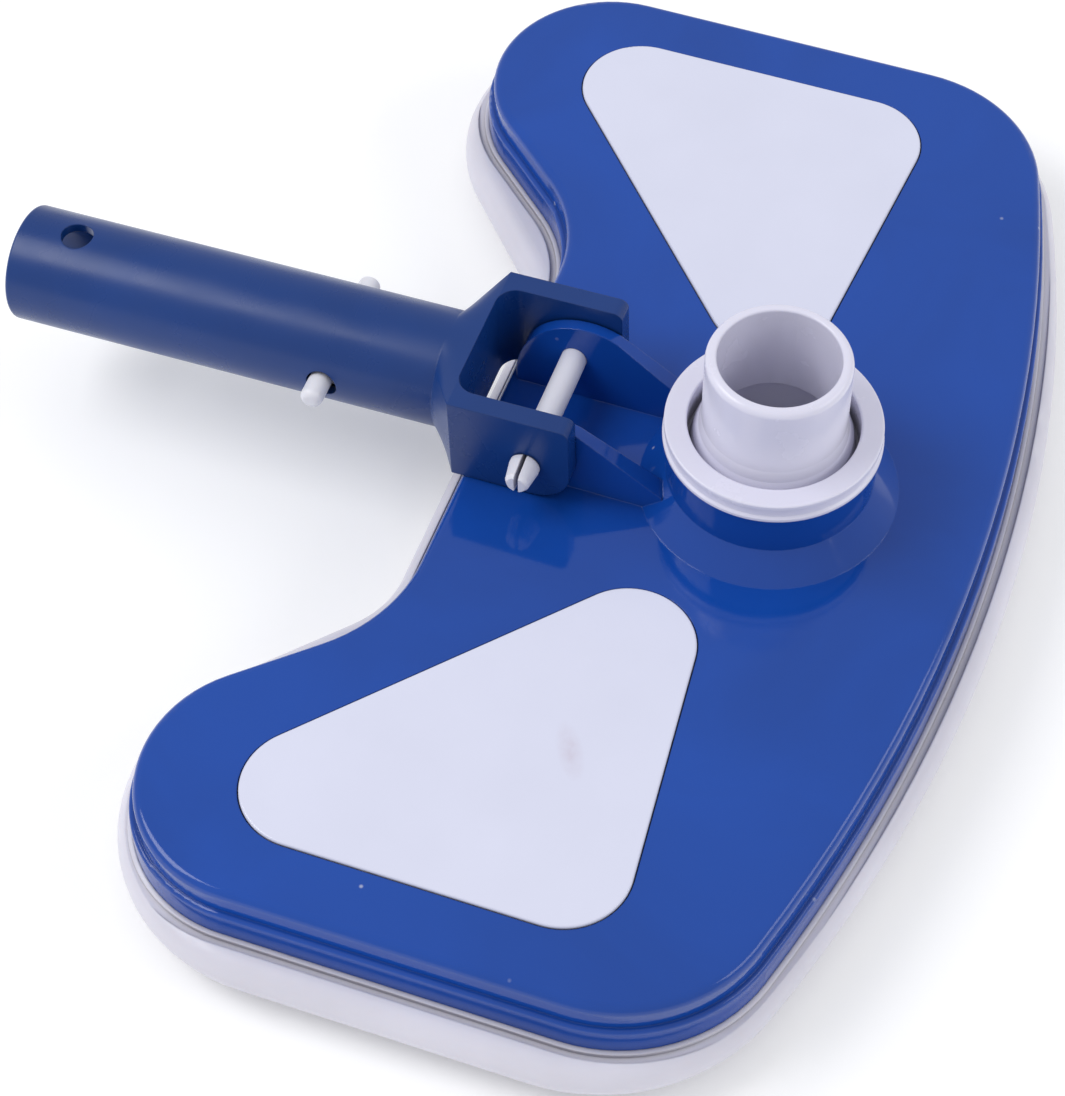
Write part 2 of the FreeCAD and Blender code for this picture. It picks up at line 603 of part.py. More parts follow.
ring = new_body("retaining_ring")
hoop = new_sketch(ring, "XZ_Plane")
add_polygon(hoop, [
    ("Sizes.ring_hole", "17.6"), ("Sizes.seat_radius - 0.05", "17.6"),
    ("Sizes.seat_radius - 0.05", "Sizes.neck_height"), ("Sizes.ring_radius + 0.3", "Sizes.neck_height"),
    ("Sizes.ring_radius + 0.3", "Sizes.neck_height + 0.9"),
    ("Sizes.ring_radius - 0.4", "Sizes.neck_height + 1.5"),
    ("Sizes.ring_radius - 0.4", "Sizes.ring_top - 1.9"),
    ("Sizes.ring_radius", "Sizes.ring_top - 1.5"), ("Sizes.ring_radius", "Sizes.ring_top"),
    ("Sizes.ring_hole", "Sizes.ring_top")])
revolve(ring, hoop)
fillet(ring, "0.5", lambda edge: at_level(edge, sizes["ring_top"]))

# ---------------------------------------------------------------------------------------------
# handle: fork that straddles the lugs and the tube that takes the pole
# ---------------------------------------------------------------------------------------------
handle = new_body("handle", HANDLE)
side_view = new_sketch(handle, "YZ_Plane")
front = sizes["fork_front"]
top = sizes["fork_top"]
bottom = sizes["fork_bottom"]
heel = sizes["fork_heel_radius"]
heel_centre = Vector(heel - front, heel - bottom, 0)
heel_arc = side_view.addGeometry(Part.ArcOfCircle(
    Part.Circle(heel_centre, Vector(0, 0, 1), heel), math.pi, 1.5 * math.pi))
outline = [Vector(heel_centre.x, -bottom, 0), Vector(sizes["shoulder_start"], -bottom, 0),
           Vector(sizes["shoulder_start"], top, 0), Vector(-front, top, 0),
           Vector(-front, heel_centre.y, 0)]
edges = [side_view.addGeometry(Part.LineSegment(a, b)) for a, b in zip(outline, outline[1:])]
side_view.addConstraint(Sketcher.Constraint("Coincident", heel_arc, 2, edges[0], 1))
for first, second in zip(edges, edges[1:]):
    side_view.addConstraint(Sketcher.Constraint("Coincident", first, 2, second, 1))
side_view.addConstraint(Sketcher.Constraint("Coincident", edges[-1], 2, heel_arc, 1))
place_point(side_view, heel_arc, 3, "Sizes.fork_heel_radius - Sizes.fork_front",
            "Sizes.fork_heel_radius - Sizes.fork_bottom")
bind(side_view, Sketcher.Constraint("Radius", heel_arc, heel), "Sizes.fork_heel_radius")
place_point(side_view, edges[1], 1, "Sizes.shoulder_start", "-Sizes.fork_bottom")
place_point(side_view, edges[2], 1, "Sizes.shoulder_start", "Sizes.fork_top")
place_point(side_view, edges[3], 1, "-Sizes.fork_front", "Sizes.fork_top")
pad(handle, side_view, "2 * Sizes.fork_half", midplane=True)
# Shoulders: the block's rectangle runs into the round tube over a short ruled transition.
block_end = new_sketch(handle, "XZ_Plane", "-Sizes.shoulder_start")
add_polygon(block_end, [("Sizes.fork_half", "-Sizes.fork_bottom"), ("Sizes.fork_half", "Sizes.fork_top"),
                        ("-Sizes.fork_half", "Sizes.fork_top"),
                        ("-Sizes.fork_half", "-Sizes.fork_bottom")])
tube_start = new_sketch(handle, "XZ_Plane", "-Sizes.shoulder_end")
tube_circle = Part.Circle(Vector(0, 0, 0), Vector(0, 0, 1), sizes["tube_radius"])
quarters = []
for start in (-45, 45, 135, 225):
    first_angle = math.radians(start)
    quarters.append(tube_start.addGeometry(
        Part.ArcOfCircle(tube_circle, first_angle, first_angle + math.pi / 2)))
for index, quarter in enumerate(quarters):
    tube_start.addConstraint(
        Sketcher.Constraint("Coincident", quarter, 2, quarters[(index + 1) % 4], 1))
    tube_start.addConstraint(Sketcher.Constraint("Coincident", quarter, 3, -1, 1))
bind(tube_start, Sketcher.Constraint("Radius", quarters[0], sizes["tube_radius"]), "Sizes.tube_radius")
corner_height = sizes["tube_radius"] * math.sin(math.pi / 4)
bind(tube_start, Sketcher.Constraint("DistanceY", -1, 1, quarters[0], 2, corner_height),
     "Sizes.tube_radius * sin(45 deg)")
tube_start.addConstraint(Sketcher.Constraint("Horizontal", quarters[1], 1, quarters[1], 2))
tube_start.addConstraint(Sketcher.Constraint("Vertical", quarters[0], 1, quarters[0], 2))
tube_start.addConstraint(Sketcher.Constraint("Vertical", quarters[2], 1, quarters[2], 2))
shoulders = handle.newObject("PartDesign::AdditiveLoft", "Shoulders")
shoulders.Profile = block_end
shoulders.Sections = [tube_start]
shoulders.Ruled = True
doc.recompute()
tube = new_sketch(handle, "XZ_Plane", "-Sizes.tube_end")
add_circle(tube, "0", "0", "Sizes.tube_radius")
pad(handle, tube, "Sizes.tube_end - Sizes.shoulder_end")
window = new_sketch(handle, "XY_Plane", "-40")
add_polygon(window, [("-Sizes.window_half", "-30"), ("Sizes.window_half", "-30"),
                     ("Sizes.window_half", "Sizes.window_end"),
                     ("-Sizes.window_half", "Sizes.window_end")])
pocket(handle, window, "80", up=True)


def upright(edge, x, y):
    """A vertical edge of the fork at plus or minus x and at y."""
    middle = edge.valueAt((edge.FirstParameter + edge.LastParameter) / 2)
    box = edge.BoundBox
    return (box.ZLength > 20 and box.XLength < 0.01 and box.YLength < 0.01
            and abs(abs(middle.x) - x) < 0.05 and abs(middle.y - y) < 0.05)


fillet(handle, "5.5", lambda edge: upright(edge, sizes["window_half"], sizes["window_end"]))
fillet(handle, "2.5", lambda edge: abs(edge.BoundBox.YMin + sizes["fork_front"]) < 0.01
       and abs(edge.BoundBox.YMax + sizes["fork_front"]) < 0.01 and at_level(edge, sizes["fork_top"]))
bore_sketch = new_sketch(handle, "XZ_Plane", "-Sizes.tube_end")
add_circle(bore_sketch, "0", "0", "Sizes.tube_bore")
pocket(handle, bore_sketch, "Sizes.tube_end - Sizes.bore_start", up=True)
bolt_hole = new_sketch(handle, "XY_Plane")
add_circle(bolt_hole, "0", "Sizes.bolt_hole_y", "Sizes.bolt_hole_radius")
pocket(handle, bolt_hole, "60", midplane=True)
cross_holes = new_sketch(handle, "YZ_Plane")
add_circle(cross_holes, "Sizes.button_hole_y", "0", "Sizes.button_hole_radius")
add_circle(cross_holes, "0", "0", "Sizes.pin_hole_radius")
pocket(handle, cross_holes, "80", midplane=True)
fillet(handle, "1.0", lambda edge: abs(edge.BoundBox.YMin - sizes["tube_end"]) < 0.01)

# ---------------------------------------------------------------------------------------------
# pivot_pin: headed plastic pin with a split barbed end
# ---------------------------------------------------------------------------------------------
pin = new_body("pivot_pin", HEAD * FreeCAD.Placement(
    Vector(0, sizes["pivot_y"], sizes["pivot_z"]), FreeCAD.Rotation()))
pin_profile = new_sketch(pin, "XZ_Plane")
add_polygon(pin_profile, [
    ("-32.2", "0"), ("-32.2", "2.6"), ("-31.2", "3.3"), ("-26.2", "4.1"), ("-25.0", "4.1"),
    ("-24.8", "Sizes.pin_radius"), ("Sizes.fork_half + 0.2", "Sizes.pin_radius"),
    ("Sizes.fork_half + 0.2", "5.5"), ("Sizes.fork_half + 1.8", "5.5"),
    ("Sizes.fork_half + 2.8", "4.4"), ("Sizes.fork_half + 2.8", "0")])
revolve(pin, pin_profile, axis="H_Axis")
slot = new_sketch(pin, "XZ_Plane")
add_polygon(slot, [("-40", "-8"), ("-19", "-8"), ("-19", "8"), ("-40", "8")])
pocket(pin, slot, "1.2", midplane=True)

# ---------------------------------------------------------------------------------------------
# clip_bow and clip_leg_*: the moulded V clip whose buttons lock the pole
# ---------------------------------------------------------------------------------------------
leg_tilt = math.atan2(sizes["tube_bore"] - 2.0 - sizes["clip_hinge_x"],
                      sizes["clip_hinge_y"] - sizes["button_y"] + 6)
bow = new_body("clip_bow", HANDLE)
bend = new_sketch(bow, "XY_Plane")
add_circle(bend, "0", "Sizes.clip_hinge_y", "Sizes.clip_hinge_x + Sizes.clip_leg_thickness / 2")
add_circle(bend, "0", "Sizes.clip_hinge_y", "Sizes.clip_hinge_x - Sizes.clip_leg_thickness / 2")
pad(bow, bend, "2 * 12.7", midplane=True)
open_side = new_sketch(bow, "XY_Plane")
add_polygon(open_side, [("-8", "Sizes.clip_hinge_y + 0.2"), ("-8", "Sizes.clip_hinge_y - 12"),
                        ("8", "Sizes.clip_hinge_y - 12"), ("8", "Sizes.clip_hinge_y + 0.2")])
pocket(bow, open_side, "40", midplane=True)

for side, name in ((1, "right"), (-1, "left")):
    leg = new_body("clip_leg_" + name, HANDLE)
    strip = new_sketch(leg, "XY_Plane")
    root = Vector(side * sizes["clip_hinge_x"], sizes["clip_hinge_y"] - 0.1, 0)
    along = Vector(side * math.sin(leg_tilt), -math.cos(leg_tilt), 0)
    tip = root + along * (sizes["clip_hinge_y"] - sizes["button_y"] + 6)
    across = Vector(along.y, -along.x, 0) * sizes["clip_leg_thickness"] / 2
    strip_corners = [root - across, tip - across, tip + across, root + across]
    add_polygon(strip, [(f"{point.x:.4f}", f"{point.y:.4f}") for point in strip_corners])
    pad(leg, strip, "Sizes.clip_leg_height", midplane=True)
    button_foot = sizes["clip_hinge_x"] + math.tan(leg_tilt) * (
        sizes["clip_hinge_y"] - sizes["button_y"])
    button = new_sketch(leg, "YZ_Plane", f"{side * button_foot:.4f}")
    add_circle(button, "Sizes.button_y", "0", "Sizes.button_radius")
    pad(leg, button, f"Sizes.button_reach - {button_foot:.4f}", down=side < 0)
    button_end = side * sizes["button_reach"]
    fillet(leg, "1.9", lambda edge: abs(edge.BoundBox.XMin - button_end) < 0.01)

# ---------------------------------------------------------------------------------------------
# base_screws: countersunk screws that hold the base plate
# ---------------------------------------------------------------------------------------------
screws = []
for index, (x, y) in enumerate(screw_places):
    head = doc.addObject("Part::Cylinder", f"ScrewHead{index}")
    head.Radius = 3.0
    head.Height = 1.6
    head.Placement.Base = Vector(x, y, -sizes["plate_top_depth"] - sizes["plate_thickness"] - 1.6)
    shank = doc.addObject("Part::Cylinder", f"ScrewShank{index}")
    shank.setExpression("Radius", "Sizes.screw_radius")
    shank.Height = 11.5
    shank.Placement.Base = Vector(x, y, -sizes["plate_top_depth"] - sizes["plate_thickness"] - 0.2)
    screw = doc.addObject("Part::Fuse", f"Screw{index}")
    screw.Base = head
    screw.Tool = shank
    screws.append(screw)
screw_group = doc.addObject("Part::Compound", "BaseScrews")
screw_group.Links = screws
screw_group.Label = "base_screws"
screw_group.Placement = HEAD
sub_parts.append(screw_group)

# ---------------------------------------------------------------------------------------------
# brush_bar_* and bristles_*: straight brush strips fixed under the base plate
# ---------------------------------------------------------------------------------------------
bars = {"front": (62, -44.0, 7.4, 92), "side": (155.8, 42, 90, 88),
        "lobe": (101, 90.5, 47.7, 50), "rear": (29, 69, 0, 42)}
for place, (x, y, turn, length) in bars.items():
    for side, name in ((1, "right"), (-1, "left")):
        spin = FreeCAD.Rotation(Vector(0, 0, 1), side * turn)
        bar_frame = HEAD * FreeCAD.Placement(
            Vector(side * x, y, -sizes["plate_top_depth"] - sizes["plate_thickness"]), spin)
        bar = new_body(f"brush_bar_{place}_{name}", bar_frame)
        bar_sketch = new_sketch(bar, "XY_Plane")
        half = f"{length / 2}"
        add_polygon(bar_sketch, [(f"-{half}", "-Sizes.bar_width / 2"), (half, "-Sizes.bar_width / 2"),
                                 (half, "Sizes.bar_width / 2"), (f"-{half}", "Sizes.bar_width / 2")])
        pad(bar, bar_sketch, "Sizes.bar_height", down=True)
        fillet(bar, "2.0", lambda edge: edge.BoundBox.ZLength > 1)

        bristles = doc.addObject("Part::Wedge", f"Bristles_{place}_{name}")
        bristles.Label = f"bristles_{place}_{name}"
        bristle_length = sizes["floor_depth"] - sizes["plate_top_depth"] - sizes[
            "plate_thickness"] - sizes["bar_height"]
        half_run = length / 2 - 3.5
        bristles.Xmin = -half_run - 1
        bristles.Xmax = half_run + 1
        bristles.X2min = -half_run
        bristles.X2max = half_run
        bristles.Zmin = -sizes["bristle_width"] / 2 - 0.6
        bristles.Zmax = sizes["bristle_width"] / 2 + 0.6
        bristles.Z2min = -sizes["bristle_width"] / 2
        bristles.Z2max = sizes["bristle_width"] / 2
        bristles.Ymin = 0
        bristles.Ymax = bristle_length
        stand = FreeCAD.Placement(Vector(0, 0, -sizes["bar_height"] - bristle_length),
                                  FreeCAD.Rotation(Vector(1, 0, 0), 90))
        bristles.Placement = bar_frame * stand
        sub_parts.append(bristles)

# ---------------------------------------------------------------------------------------------
# Check and export
# ---------------------------------------------------------------------------------------------
doc.recompute()
for item in doc.Objects:
    if "Invalid" in item.State or "Error" in item.State:
        raise RuntimeError(f"{item.Label} did not recompute: {item.State}")
os.makedirs("parts", exist_ok=True)
for item in sub_parts:
    shape = item.Shape
    if shape.isNull() or not shape.isValid() or not shape.Solids:
        raise RuntimeError(f"{item.Label} is not a valid solid")
    shape.exportStep(f"parts/{item.Label}.step")
    box = shape.BoundBox
    print(f"{item.Label:24s} solids {len(shape.Solids)} volume {shape.Volume:10.1f} "
          f"x {box.XMin:.1f}..{box.XMax:.1f} y {box.YMin:.1f}..{box.YMax:.1f} "
          f"z {box.ZMin:.1f}..{box.ZMax:.1f}")
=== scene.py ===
import math
import random

import bpy
from mathutils import Matrix, Vector


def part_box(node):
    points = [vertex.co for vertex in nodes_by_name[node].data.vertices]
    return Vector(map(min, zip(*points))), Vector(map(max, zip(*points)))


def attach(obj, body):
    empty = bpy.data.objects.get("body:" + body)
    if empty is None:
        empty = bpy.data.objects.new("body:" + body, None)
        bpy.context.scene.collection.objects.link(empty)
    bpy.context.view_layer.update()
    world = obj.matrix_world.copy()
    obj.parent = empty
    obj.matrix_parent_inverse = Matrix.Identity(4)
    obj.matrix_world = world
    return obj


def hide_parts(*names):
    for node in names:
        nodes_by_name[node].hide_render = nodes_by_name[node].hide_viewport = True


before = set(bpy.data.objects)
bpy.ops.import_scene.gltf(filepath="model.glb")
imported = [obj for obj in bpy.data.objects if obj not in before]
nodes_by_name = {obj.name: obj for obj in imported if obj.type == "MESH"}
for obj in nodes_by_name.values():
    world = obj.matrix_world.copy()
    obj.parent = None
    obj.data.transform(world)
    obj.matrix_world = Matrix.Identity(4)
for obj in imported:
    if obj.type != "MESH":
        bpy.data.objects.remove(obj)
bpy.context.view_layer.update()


# ------------------------------------------------------------------ shell and base plate
# The shell is one large injection-moulded piece in glossy royal-blue ABS, with the hose neck and
# the handle lugs moulded on. The base plate and the handle come from the same kind of plastic,
# with a duller mould finish; all three pick up fine scratches and dust, and carry painted shade in the
# corners.
def moulded_abs(name, colour, roughness, coat, grain, dust):
    material = bpy.data.materials.new(name)
    material.use_nodes = True
    tree = material.node_tree
    nodes, links = tree.nodes, tree.links
    nodes.clear()

    frame_surface = nodes.new("NodeFrame")
    frame_surface.label = "Surface"
    output = nodes.new("ShaderNodeOutputMaterial")
    output.label, output.location, output.parent = "Output", (1500, 0), frame_surface
    shader = nodes.new("ShaderNodeBsdfPrincipled")
    shader.label, shader.location, shader.parent = "ABS", (1200, 0), frame_surface
    shader.inputs["IOR"].default_value = 1.53
    shader.inputs["Specular IOR Level"].default_value = 0.36
    shader.inputs["Coat Weight"].default_value = coat
    shader.inputs["Coat Roughness"].default_value = 0.04
    shader.inputs["Subsurface Weight"].default_value = 0.0
    links.new(shader.outputs["BSDF"], output.inputs["Surface"])

    place = nodes.new("ShaderNodeTexCoord")
    place.label, place.location = "Part position", (-1500, 0)

    # Colour: slow flow shading from the mould, and painted shade (a darker colour from an occlusion
    # mask) where surfaces meet.
    frame_colour = nodes.new("NodeFrame")
    frame_colour.label = "Colour"
    flow = nodes.new("ShaderNodeTexNoise")
    flow.label, flow.location, flow.parent = "Flow shading", (-1100, 500), frame_colour
    flow.inputs["Scale"].default_value = 17.0
    flow.inputs["Detail"].default_value = 4.0
    flow.inputs["Distortion"].default_value = 0.7
    tones = nodes.new("ShaderNodeValToRGB")
    tones.label, tones.location, tones.parent = "Flow tones", (-850, 500), frame_colour
    tones.color_ramp.elements[0].position = 0.32
    tones.color_ramp.elements[1].position = 0.72
    tones.color_ramp.elements[0].color = (*[value * 0.90 for value in colour], 1)
    tones.color_ramp.elements[1].color = (*[value * 1.08 for value in colour], 1)
    # Painted shade: the occlusion mask darkens the colour in the inner corners, where surfaces meet.
    corners = nodes.new("ShaderNodeAmbientOcclusion")
    corners.label, corners.location, corners.parent = "Inner corners", (-1100, 780), frame_colour
    corners.samples = 6
    corners.inputs["Distance"].default_value = 0.004
    painted_shade = nodes.new("ShaderNodeMapRange")
    painted_shade.label, painted_shade.location, painted_shade.parent = "Painted shade amount", (-850, 780), frame_colour
    painted_shade.inputs["From Min"].default_value = 0.25
    painted_shade.inputs["From Max"].default_value = 0.75
    painted_shade.inputs["To Min"].default_value = 0.55
    painted_shade.inputs["To Max"].default_value = 0.0
    shaded_colour = nodes.new("ShaderNodeMix")
    shaded_colour.label, shaded_colour.location, shaded_colour.parent = "Add painted corner shade", (-550, 600), frame_colour
    shaded_colour.data_type = "RGBA"
    shaded_colour.inputs["B"].default_value = (*[value * 0.35 for value in colour], 1)
    links.new(place.outputs["Object"], flow.inputs["Vector"])
    links.new(flow.outputs["Fac"], tones.inputs["Fac"])
    links.new(corners.outputs["AO"], painted_shade.inputs["Value"])
    links.new(painted_shade.outputs["Result"], shaded_colour.inputs["Factor"])
    links.new(tones.outputs["Color"], shaded_colour.inputs["A"])

    # Dust: small pale specks, kept to a few patches.
    frame_dust = nodes.new("NodeFrame")
    frame_dust.label = "Dust"
    speck = nodes.new("ShaderNodeTexVoronoi")
    speck.label, speck.location, speck.parent = "Specks", (-1100, 150), frame_dust
    speck.inputs["Scale"].default_value = 62.0
    speck_size = nodes.new("ShaderNodeMapRange")
    speck_size.label, speck_size.location, speck_size.parent = "Speck size", (-850, 150), frame_dust
    speck_size.inputs["From Min"].default_value = 0.022
    speck_size.inputs["From Max"].default_value = 0.045
    speck_size.inputs["To Min"].default_value = 1.0
    speck_size.inputs["To Max"].default_value = 0.0
    patch = nodes.new("ShaderNodeTexNoise")
    patch.label, patch.location, patch.parent = "Dusty patches", (-1100, -80), frame_dust
    patch.inputs["Scale"].default_value = 38.0
    patch.inputs["Detail"].default_value = 2.0
    patch_edge = nodes.new("ShaderNodeMapRange")
    patch_edge.label, patch_edge.location, patch_edge.parent = "Patch edge", (-850, -80), frame_dust
    patch_edge.inputs["From Min"].default_value = 0.53
    patch_edge.inputs["From Max"].default_value = 0.60
    patch_edge.inputs["To Max"].default_value = dust
    dust_amount = nodes.new("ShaderNodeMath")
    dust_amount.label, dust_amount.location, dust_amount.parent = "Dust", (-600, 80), frame_dust
    dust_amount.operation = "MULTIPLY"
    dusty = nodes.new("ShaderNodeMix")
    dusty.label, dusty.location, dusty.parent = "Add dust", (-250, 450), frame_dust
    dusty.data_type = "RGBA"
    dusty.inputs["B"].default_value = (0.62, 0.64, 0.72, 1)
    links.new(place.outputs["Object"], speck.inputs["Vector"])
    links.new(place.outputs["Object"], patch.inputs["Vector"])
    links.new(speck.outputs["Distance"], speck_size.inputs["Value"])
    links.new(patch.outputs["Fac"], patch_edge.inputs["Value"])
    links.new(speck_size.outputs["Result"], dust_amount.inputs[0])
    links.new(patch_edge.outputs["Result"], dust_amount.inputs[1])
    links.new(dust_amount.outputs["Value"], dusty.inputs["Factor"])
    links.new(shaded_colour.outputs["Result"], dusty.inputs["A"])
    links.new(dusty.outputs["Result"], shader.inputs["Base Color"])

    # Scratches: fine lines drawn out along one direction, broken into short runs.
    frame_scratch = nodes.new("NodeFrame")
    frame_scratch.label = "Scratches"
    stretch = nodes.new("ShaderNodeMapping")
    stretch.label, stretch.location, stretch.parent = "Draw out", (-1300, -380), frame_scratch
    stretch.inputs["Rotation"].default_value = (0.2, 0.1, 0.65)
    stretch.inputs["Scale"].default_value = (20, 900, 420)
    lines = nodes.new("ShaderNodeTexNoise")
    lines.label, lines.location, lines.parent = "Fine lines", (-1100, -380), frame_scratch
    lines.inputs["Scale"].default_value = 1.0
    lines.inputs["Detail"].default_value = 2.0
    thin = nodes.new("ShaderNodeMapRange")
    thin.label, thin.location, thin.parent = "Keep the thinnest", (-850, -380), frame_scratch
    thin.inputs["From Min"].default_value = 0.72
    thin.inputs["From Max"].default_value = 0.80
    links.new(place.outputs["Object"], stretch.inputs["Vector"])
    links.new(stretch.outputs["Vector"], lines.inputs["Vector"])
    links.new(lines.outputs["Fac"], thin.inputs["Value"])

    # Roughness: even gloss, clouded a little by handling, rougher in scratches and dust.
    frame_rough = nodes.new("NodeFrame")
    frame_rough.label = "Roughness"
    haze = nodes.new("ShaderNodeTexNoise")
    haze.label, haze.location, haze.parent = "Handling haze", (-1100, -680), frame_rough
    haze.inputs["Scale"].default_value = 55.0
    haze.inputs["Detail"].default_value = 6.0
    gloss = nodes.new("ShaderNodeMapRange")
    gloss.label, gloss.location, gloss.parent = "Gloss range", (-850, -680), frame_rough
    gloss.inputs["From Min"].default_value = 0.3
    gloss.inputs["From Max"].default_value = 0.75
    gloss.inputs["To Min"].default_value = roughness * 0.85
    gloss.inputs["To Max"].default_value = roughness * 1.35
    worn = nodes.new("ShaderNodeMath")
    worn.label, worn.location, worn.parent = "Scratch roughness", (-550, -560), frame_rough
    worn.operation = "MULTIPLY_ADD"
    worn.inputs[1].default_value = 0.12
    total = nodes.new("ShaderNodeMath")
    total.label, total.location, total.parent = "Dust roughness", (-300, -560), frame_rough
    total.operation = "MULTIPLY_ADD"
    total.inputs[1].default_value = 0.4
    links.new(place.outputs["Object"], haze.inputs["Vector"])
    links.new(haze.outputs["Fac"], gloss.inputs["Value"])
    links.new(thin.outputs["Result"], worn.inputs[0])
    links.new(gloss.outputs["Result"], worn.inputs[2])
    links.new(dust_amount.outputs["Value"], total.inputs[0])
    links.new(worn.outputs["Value"], total.inputs[2])
    links.new(total.outputs["Value"], shader.inputs["Roughness"])

    # Relief: soft arrises, a trace of sink in the skin, mould grain and the scratches.
    frame_relief = nodes.new("NodeFrame")
    frame_relief.label = "Relief"
    arris = nodes.new("ShaderNodeBevel")
    arris.label, arris.location, arris.parent = "Soft arrises", (-250, -900), frame_relief
    arris.samples = 6
    arris.inputs["Radius"].default_value = 0.0005
    sink = nodes.new("ShaderNodeTexNoise")
    sink.label, sink.location, sink.parent = "Sink", (-550, -900), frame_relief
    sink.inputs["Scale"].default_value = 42.0
    sink.inputs["Detail"].default_value = 1.0
    sink_bump = nodes.new("ShaderNodeBump")
    sink_bump.label, sink_bump.location, sink_bump.parent = "Sink relief", (0, -900), frame_relief
    sink_bump.inputs["Strength"].default_value = 0.12
    sink_bump.inputs["Distance"].default_value = 0.0006
    skin = nodes.new("ShaderNodeTexNoise")
    skin.label, skin.location, skin.parent = "Mould grain", (-550, -1150), frame_relief
    skin.inputs["Scale"].default_value = 2600.0
    skin.inputs["Detail"].default_value = 2.0
    skin_bump = nodes.new("ShaderNodeBump")
    skin_bump.label, skin_bump.location, skin_bump.parent = "Grain relief", (250, -900), frame_relief
    skin_bump.inputs["Strength"].default_value = grain
    skin_bump.inputs["Distance"].default_value = 0.00006
    cut_bump = nodes.new("ShaderNodeBump")
    cut_bump.label, cut_bump.location, cut_bump.parent = "Scratch relief", (500, -900), frame_relief
    cut_bump.invert = True
    cut_bump.inputs["Strength"].default_value = 0.22
    cut_bump.inputs["Distance"].default_value = 0.00005
    links.new(place.outputs["Object"], sink.inputs["Vector"])
    links.new(place.outputs["Object"], skin.inputs["Vector"])
    links.new(arris.outputs["Normal"], sink_bump.inputs["Normal"])
    links.new(sink.outputs["Fac"], sink_bump.inputs["Height"])
    links.new(sink_bump.outputs["Normal"], skin_bump.inputs["Normal"])
    links.new(skin.outputs["Fac"], skin_bump.inputs["Height"])
    links.new(skin_bump.outputs["Normal"], cut_bump.inputs["Normal"])
    links.new(thin.outputs["Result"], cut_bump.inputs["Height"])
    links.new(cut_bump.outputs["Normal"], shader.inputs["Normal"])
    return material


shell_plastic = moulded_abs("shell_abs", (0.006, 0.060, 0.345), 0.075, 0.08, 0.05, 0.55)
plate_plastic = moulded_abs("base_plate_abs", (0.008, 0.045, 0.25), 0.33, 0.0, 0.30, 0.35)
for node, plastic, slot_name in (("body_shell", shell_plastic, "shell_blue"),
                                 ("base_plate", plate_plastic, "plate_blue")):
    nodes_by_name[node].data.materials.clear()
    nodes_by_name[node].data.materials.append(plastic)


# ------------------------------------------------------------------ bumper
# A continuous rim of soft white vinyl, with a thin bead along its inner top edge and a round
# outer bulge, stretched over the skirt of the shell. It is slightly translucent. Painted grey
# shade darkens the groove and the lowest part of the bulge.
bumper_vinyl = bpy.data.materials.new("bumper_vinyl")
bumper_vinyl.use_nodes = True
tree = bumper_vinyl.node_tree
nodes, links = tree.nodes, tree.links
nodes.clear()
output = nodes.new("ShaderNodeOutputMaterial")
output.label, output.location = "Output", (1300, 0)
shader = nodes.new("ShaderNodeBsdfPrincipled")
shader.label, shader.location = "Vinyl", (1000, 0)
shader.inputs["IOR"].default_value = 1.52
shader.inputs["Subsurface Weight"].default_value = 0.18
shader.inputs["Subsurface Radius"].default_value = (0.004, 0.003, 0.0025)
shader.inputs["Subsurface Scale"].default_value = 0.6
shader.inputs["Sheen Weight"].default_value = 0.04
links.new(shader.outputs["BSDF"], output.inputs["Surface"])
place = nodes.new("ShaderNodeTexCoord")
place.label, place.location = "Part position", (-1300, 0)

frame_tone = nodes.new("NodeFrame")
frame_tone.label = "Vinyl colour"
cloud = nodes.new("ShaderNodeTexNoise")
cloud.label, cloud.location, cloud.parent = "Clouding", (-1000, 400), frame_tone
cloud.inputs["Scale"].default_value = 24.0
cloud.inputs["Detail"].default_value = 5.0
cloud_tones = nodes.new("ShaderNodeValToRGB")
cloud_tones.label, cloud_tones.location, cloud_tones.parent = "White tones", (-750, 400), frame_tone
cloud_tones.color_ramp.elements[0].position = 0.30
cloud_tones.color_ramp.elements[0].color = (0.64, 0.625, 0.70, 1)
cloud_tones.color_ramp.elements[1].position = 0.70
cloud_tones.color_ramp.elements[1].color = (0.71, 0.695, 0.78, 1)
links.new(place.outputs["Object"], cloud.inputs["Vector"])
links.new(cloud.outputs["Fac"], cloud_tones.inputs["Fac"])

# Painted shade: an occlusion mask darkens the groove, and a height ramp darkens the lowest part of the
# bulge.
frame_painted_shade = nodes.new("NodeFrame")
frame_painted_shade.label = "Painted shade in the groove and on the lower edge"
hollow = nodes.new("ShaderNodeAmbientOcclusion")
hollow.label, hollow.location, hollow.parent = "Groove", (-1000, 750), frame_painted_shade
hollow.samples = 8
hollow.inputs["Distance"].default_value = 0.0035
groove_shade = nodes.new("ShaderNodeMapRange")
groove_shade.label, groove_shade.location = "Groove shade", (-750, 750)
groove_shade.parent = frame_painted_shade
groove_shade.inputs["From Min"].default_value = 0.25
groove_shade.inputs["From Max"].default_value = 0.80
groove_shade.inputs["To Min"].default_value = 0.75
groove_shade.inputs["To Max"].default_value = 0.0
height = nodes.new("ShaderNodeSeparateXYZ")
height.label, height.location, height.parent = "Height", (-1000, 950), frame_painted_shade
low_edge = nodes.new("ShaderNodeMapRange")
low_edge.label, low_edge.location, low_edge.parent = "Lower edge", (-750, 950), frame_painted_shade
low_edge.inputs["From Min"].default_value = 0.0036
low_edge.inputs["From Max"].default_value = 0.0085
low_edge.inputs["To Min"].default_value = 0.40
low_edge.inputs["To Max"].default_value = 0.0
shade_sum = nodes.new("ShaderNodeMath")
shade_sum.label, shade_sum.location, shade_sum.parent = "Deepest painted shade", (-500, 850), frame_painted_shade
shade_sum.operation = "MAXIMUM"
shaded_vinyl = nodes.new("ShaderNodeMix")
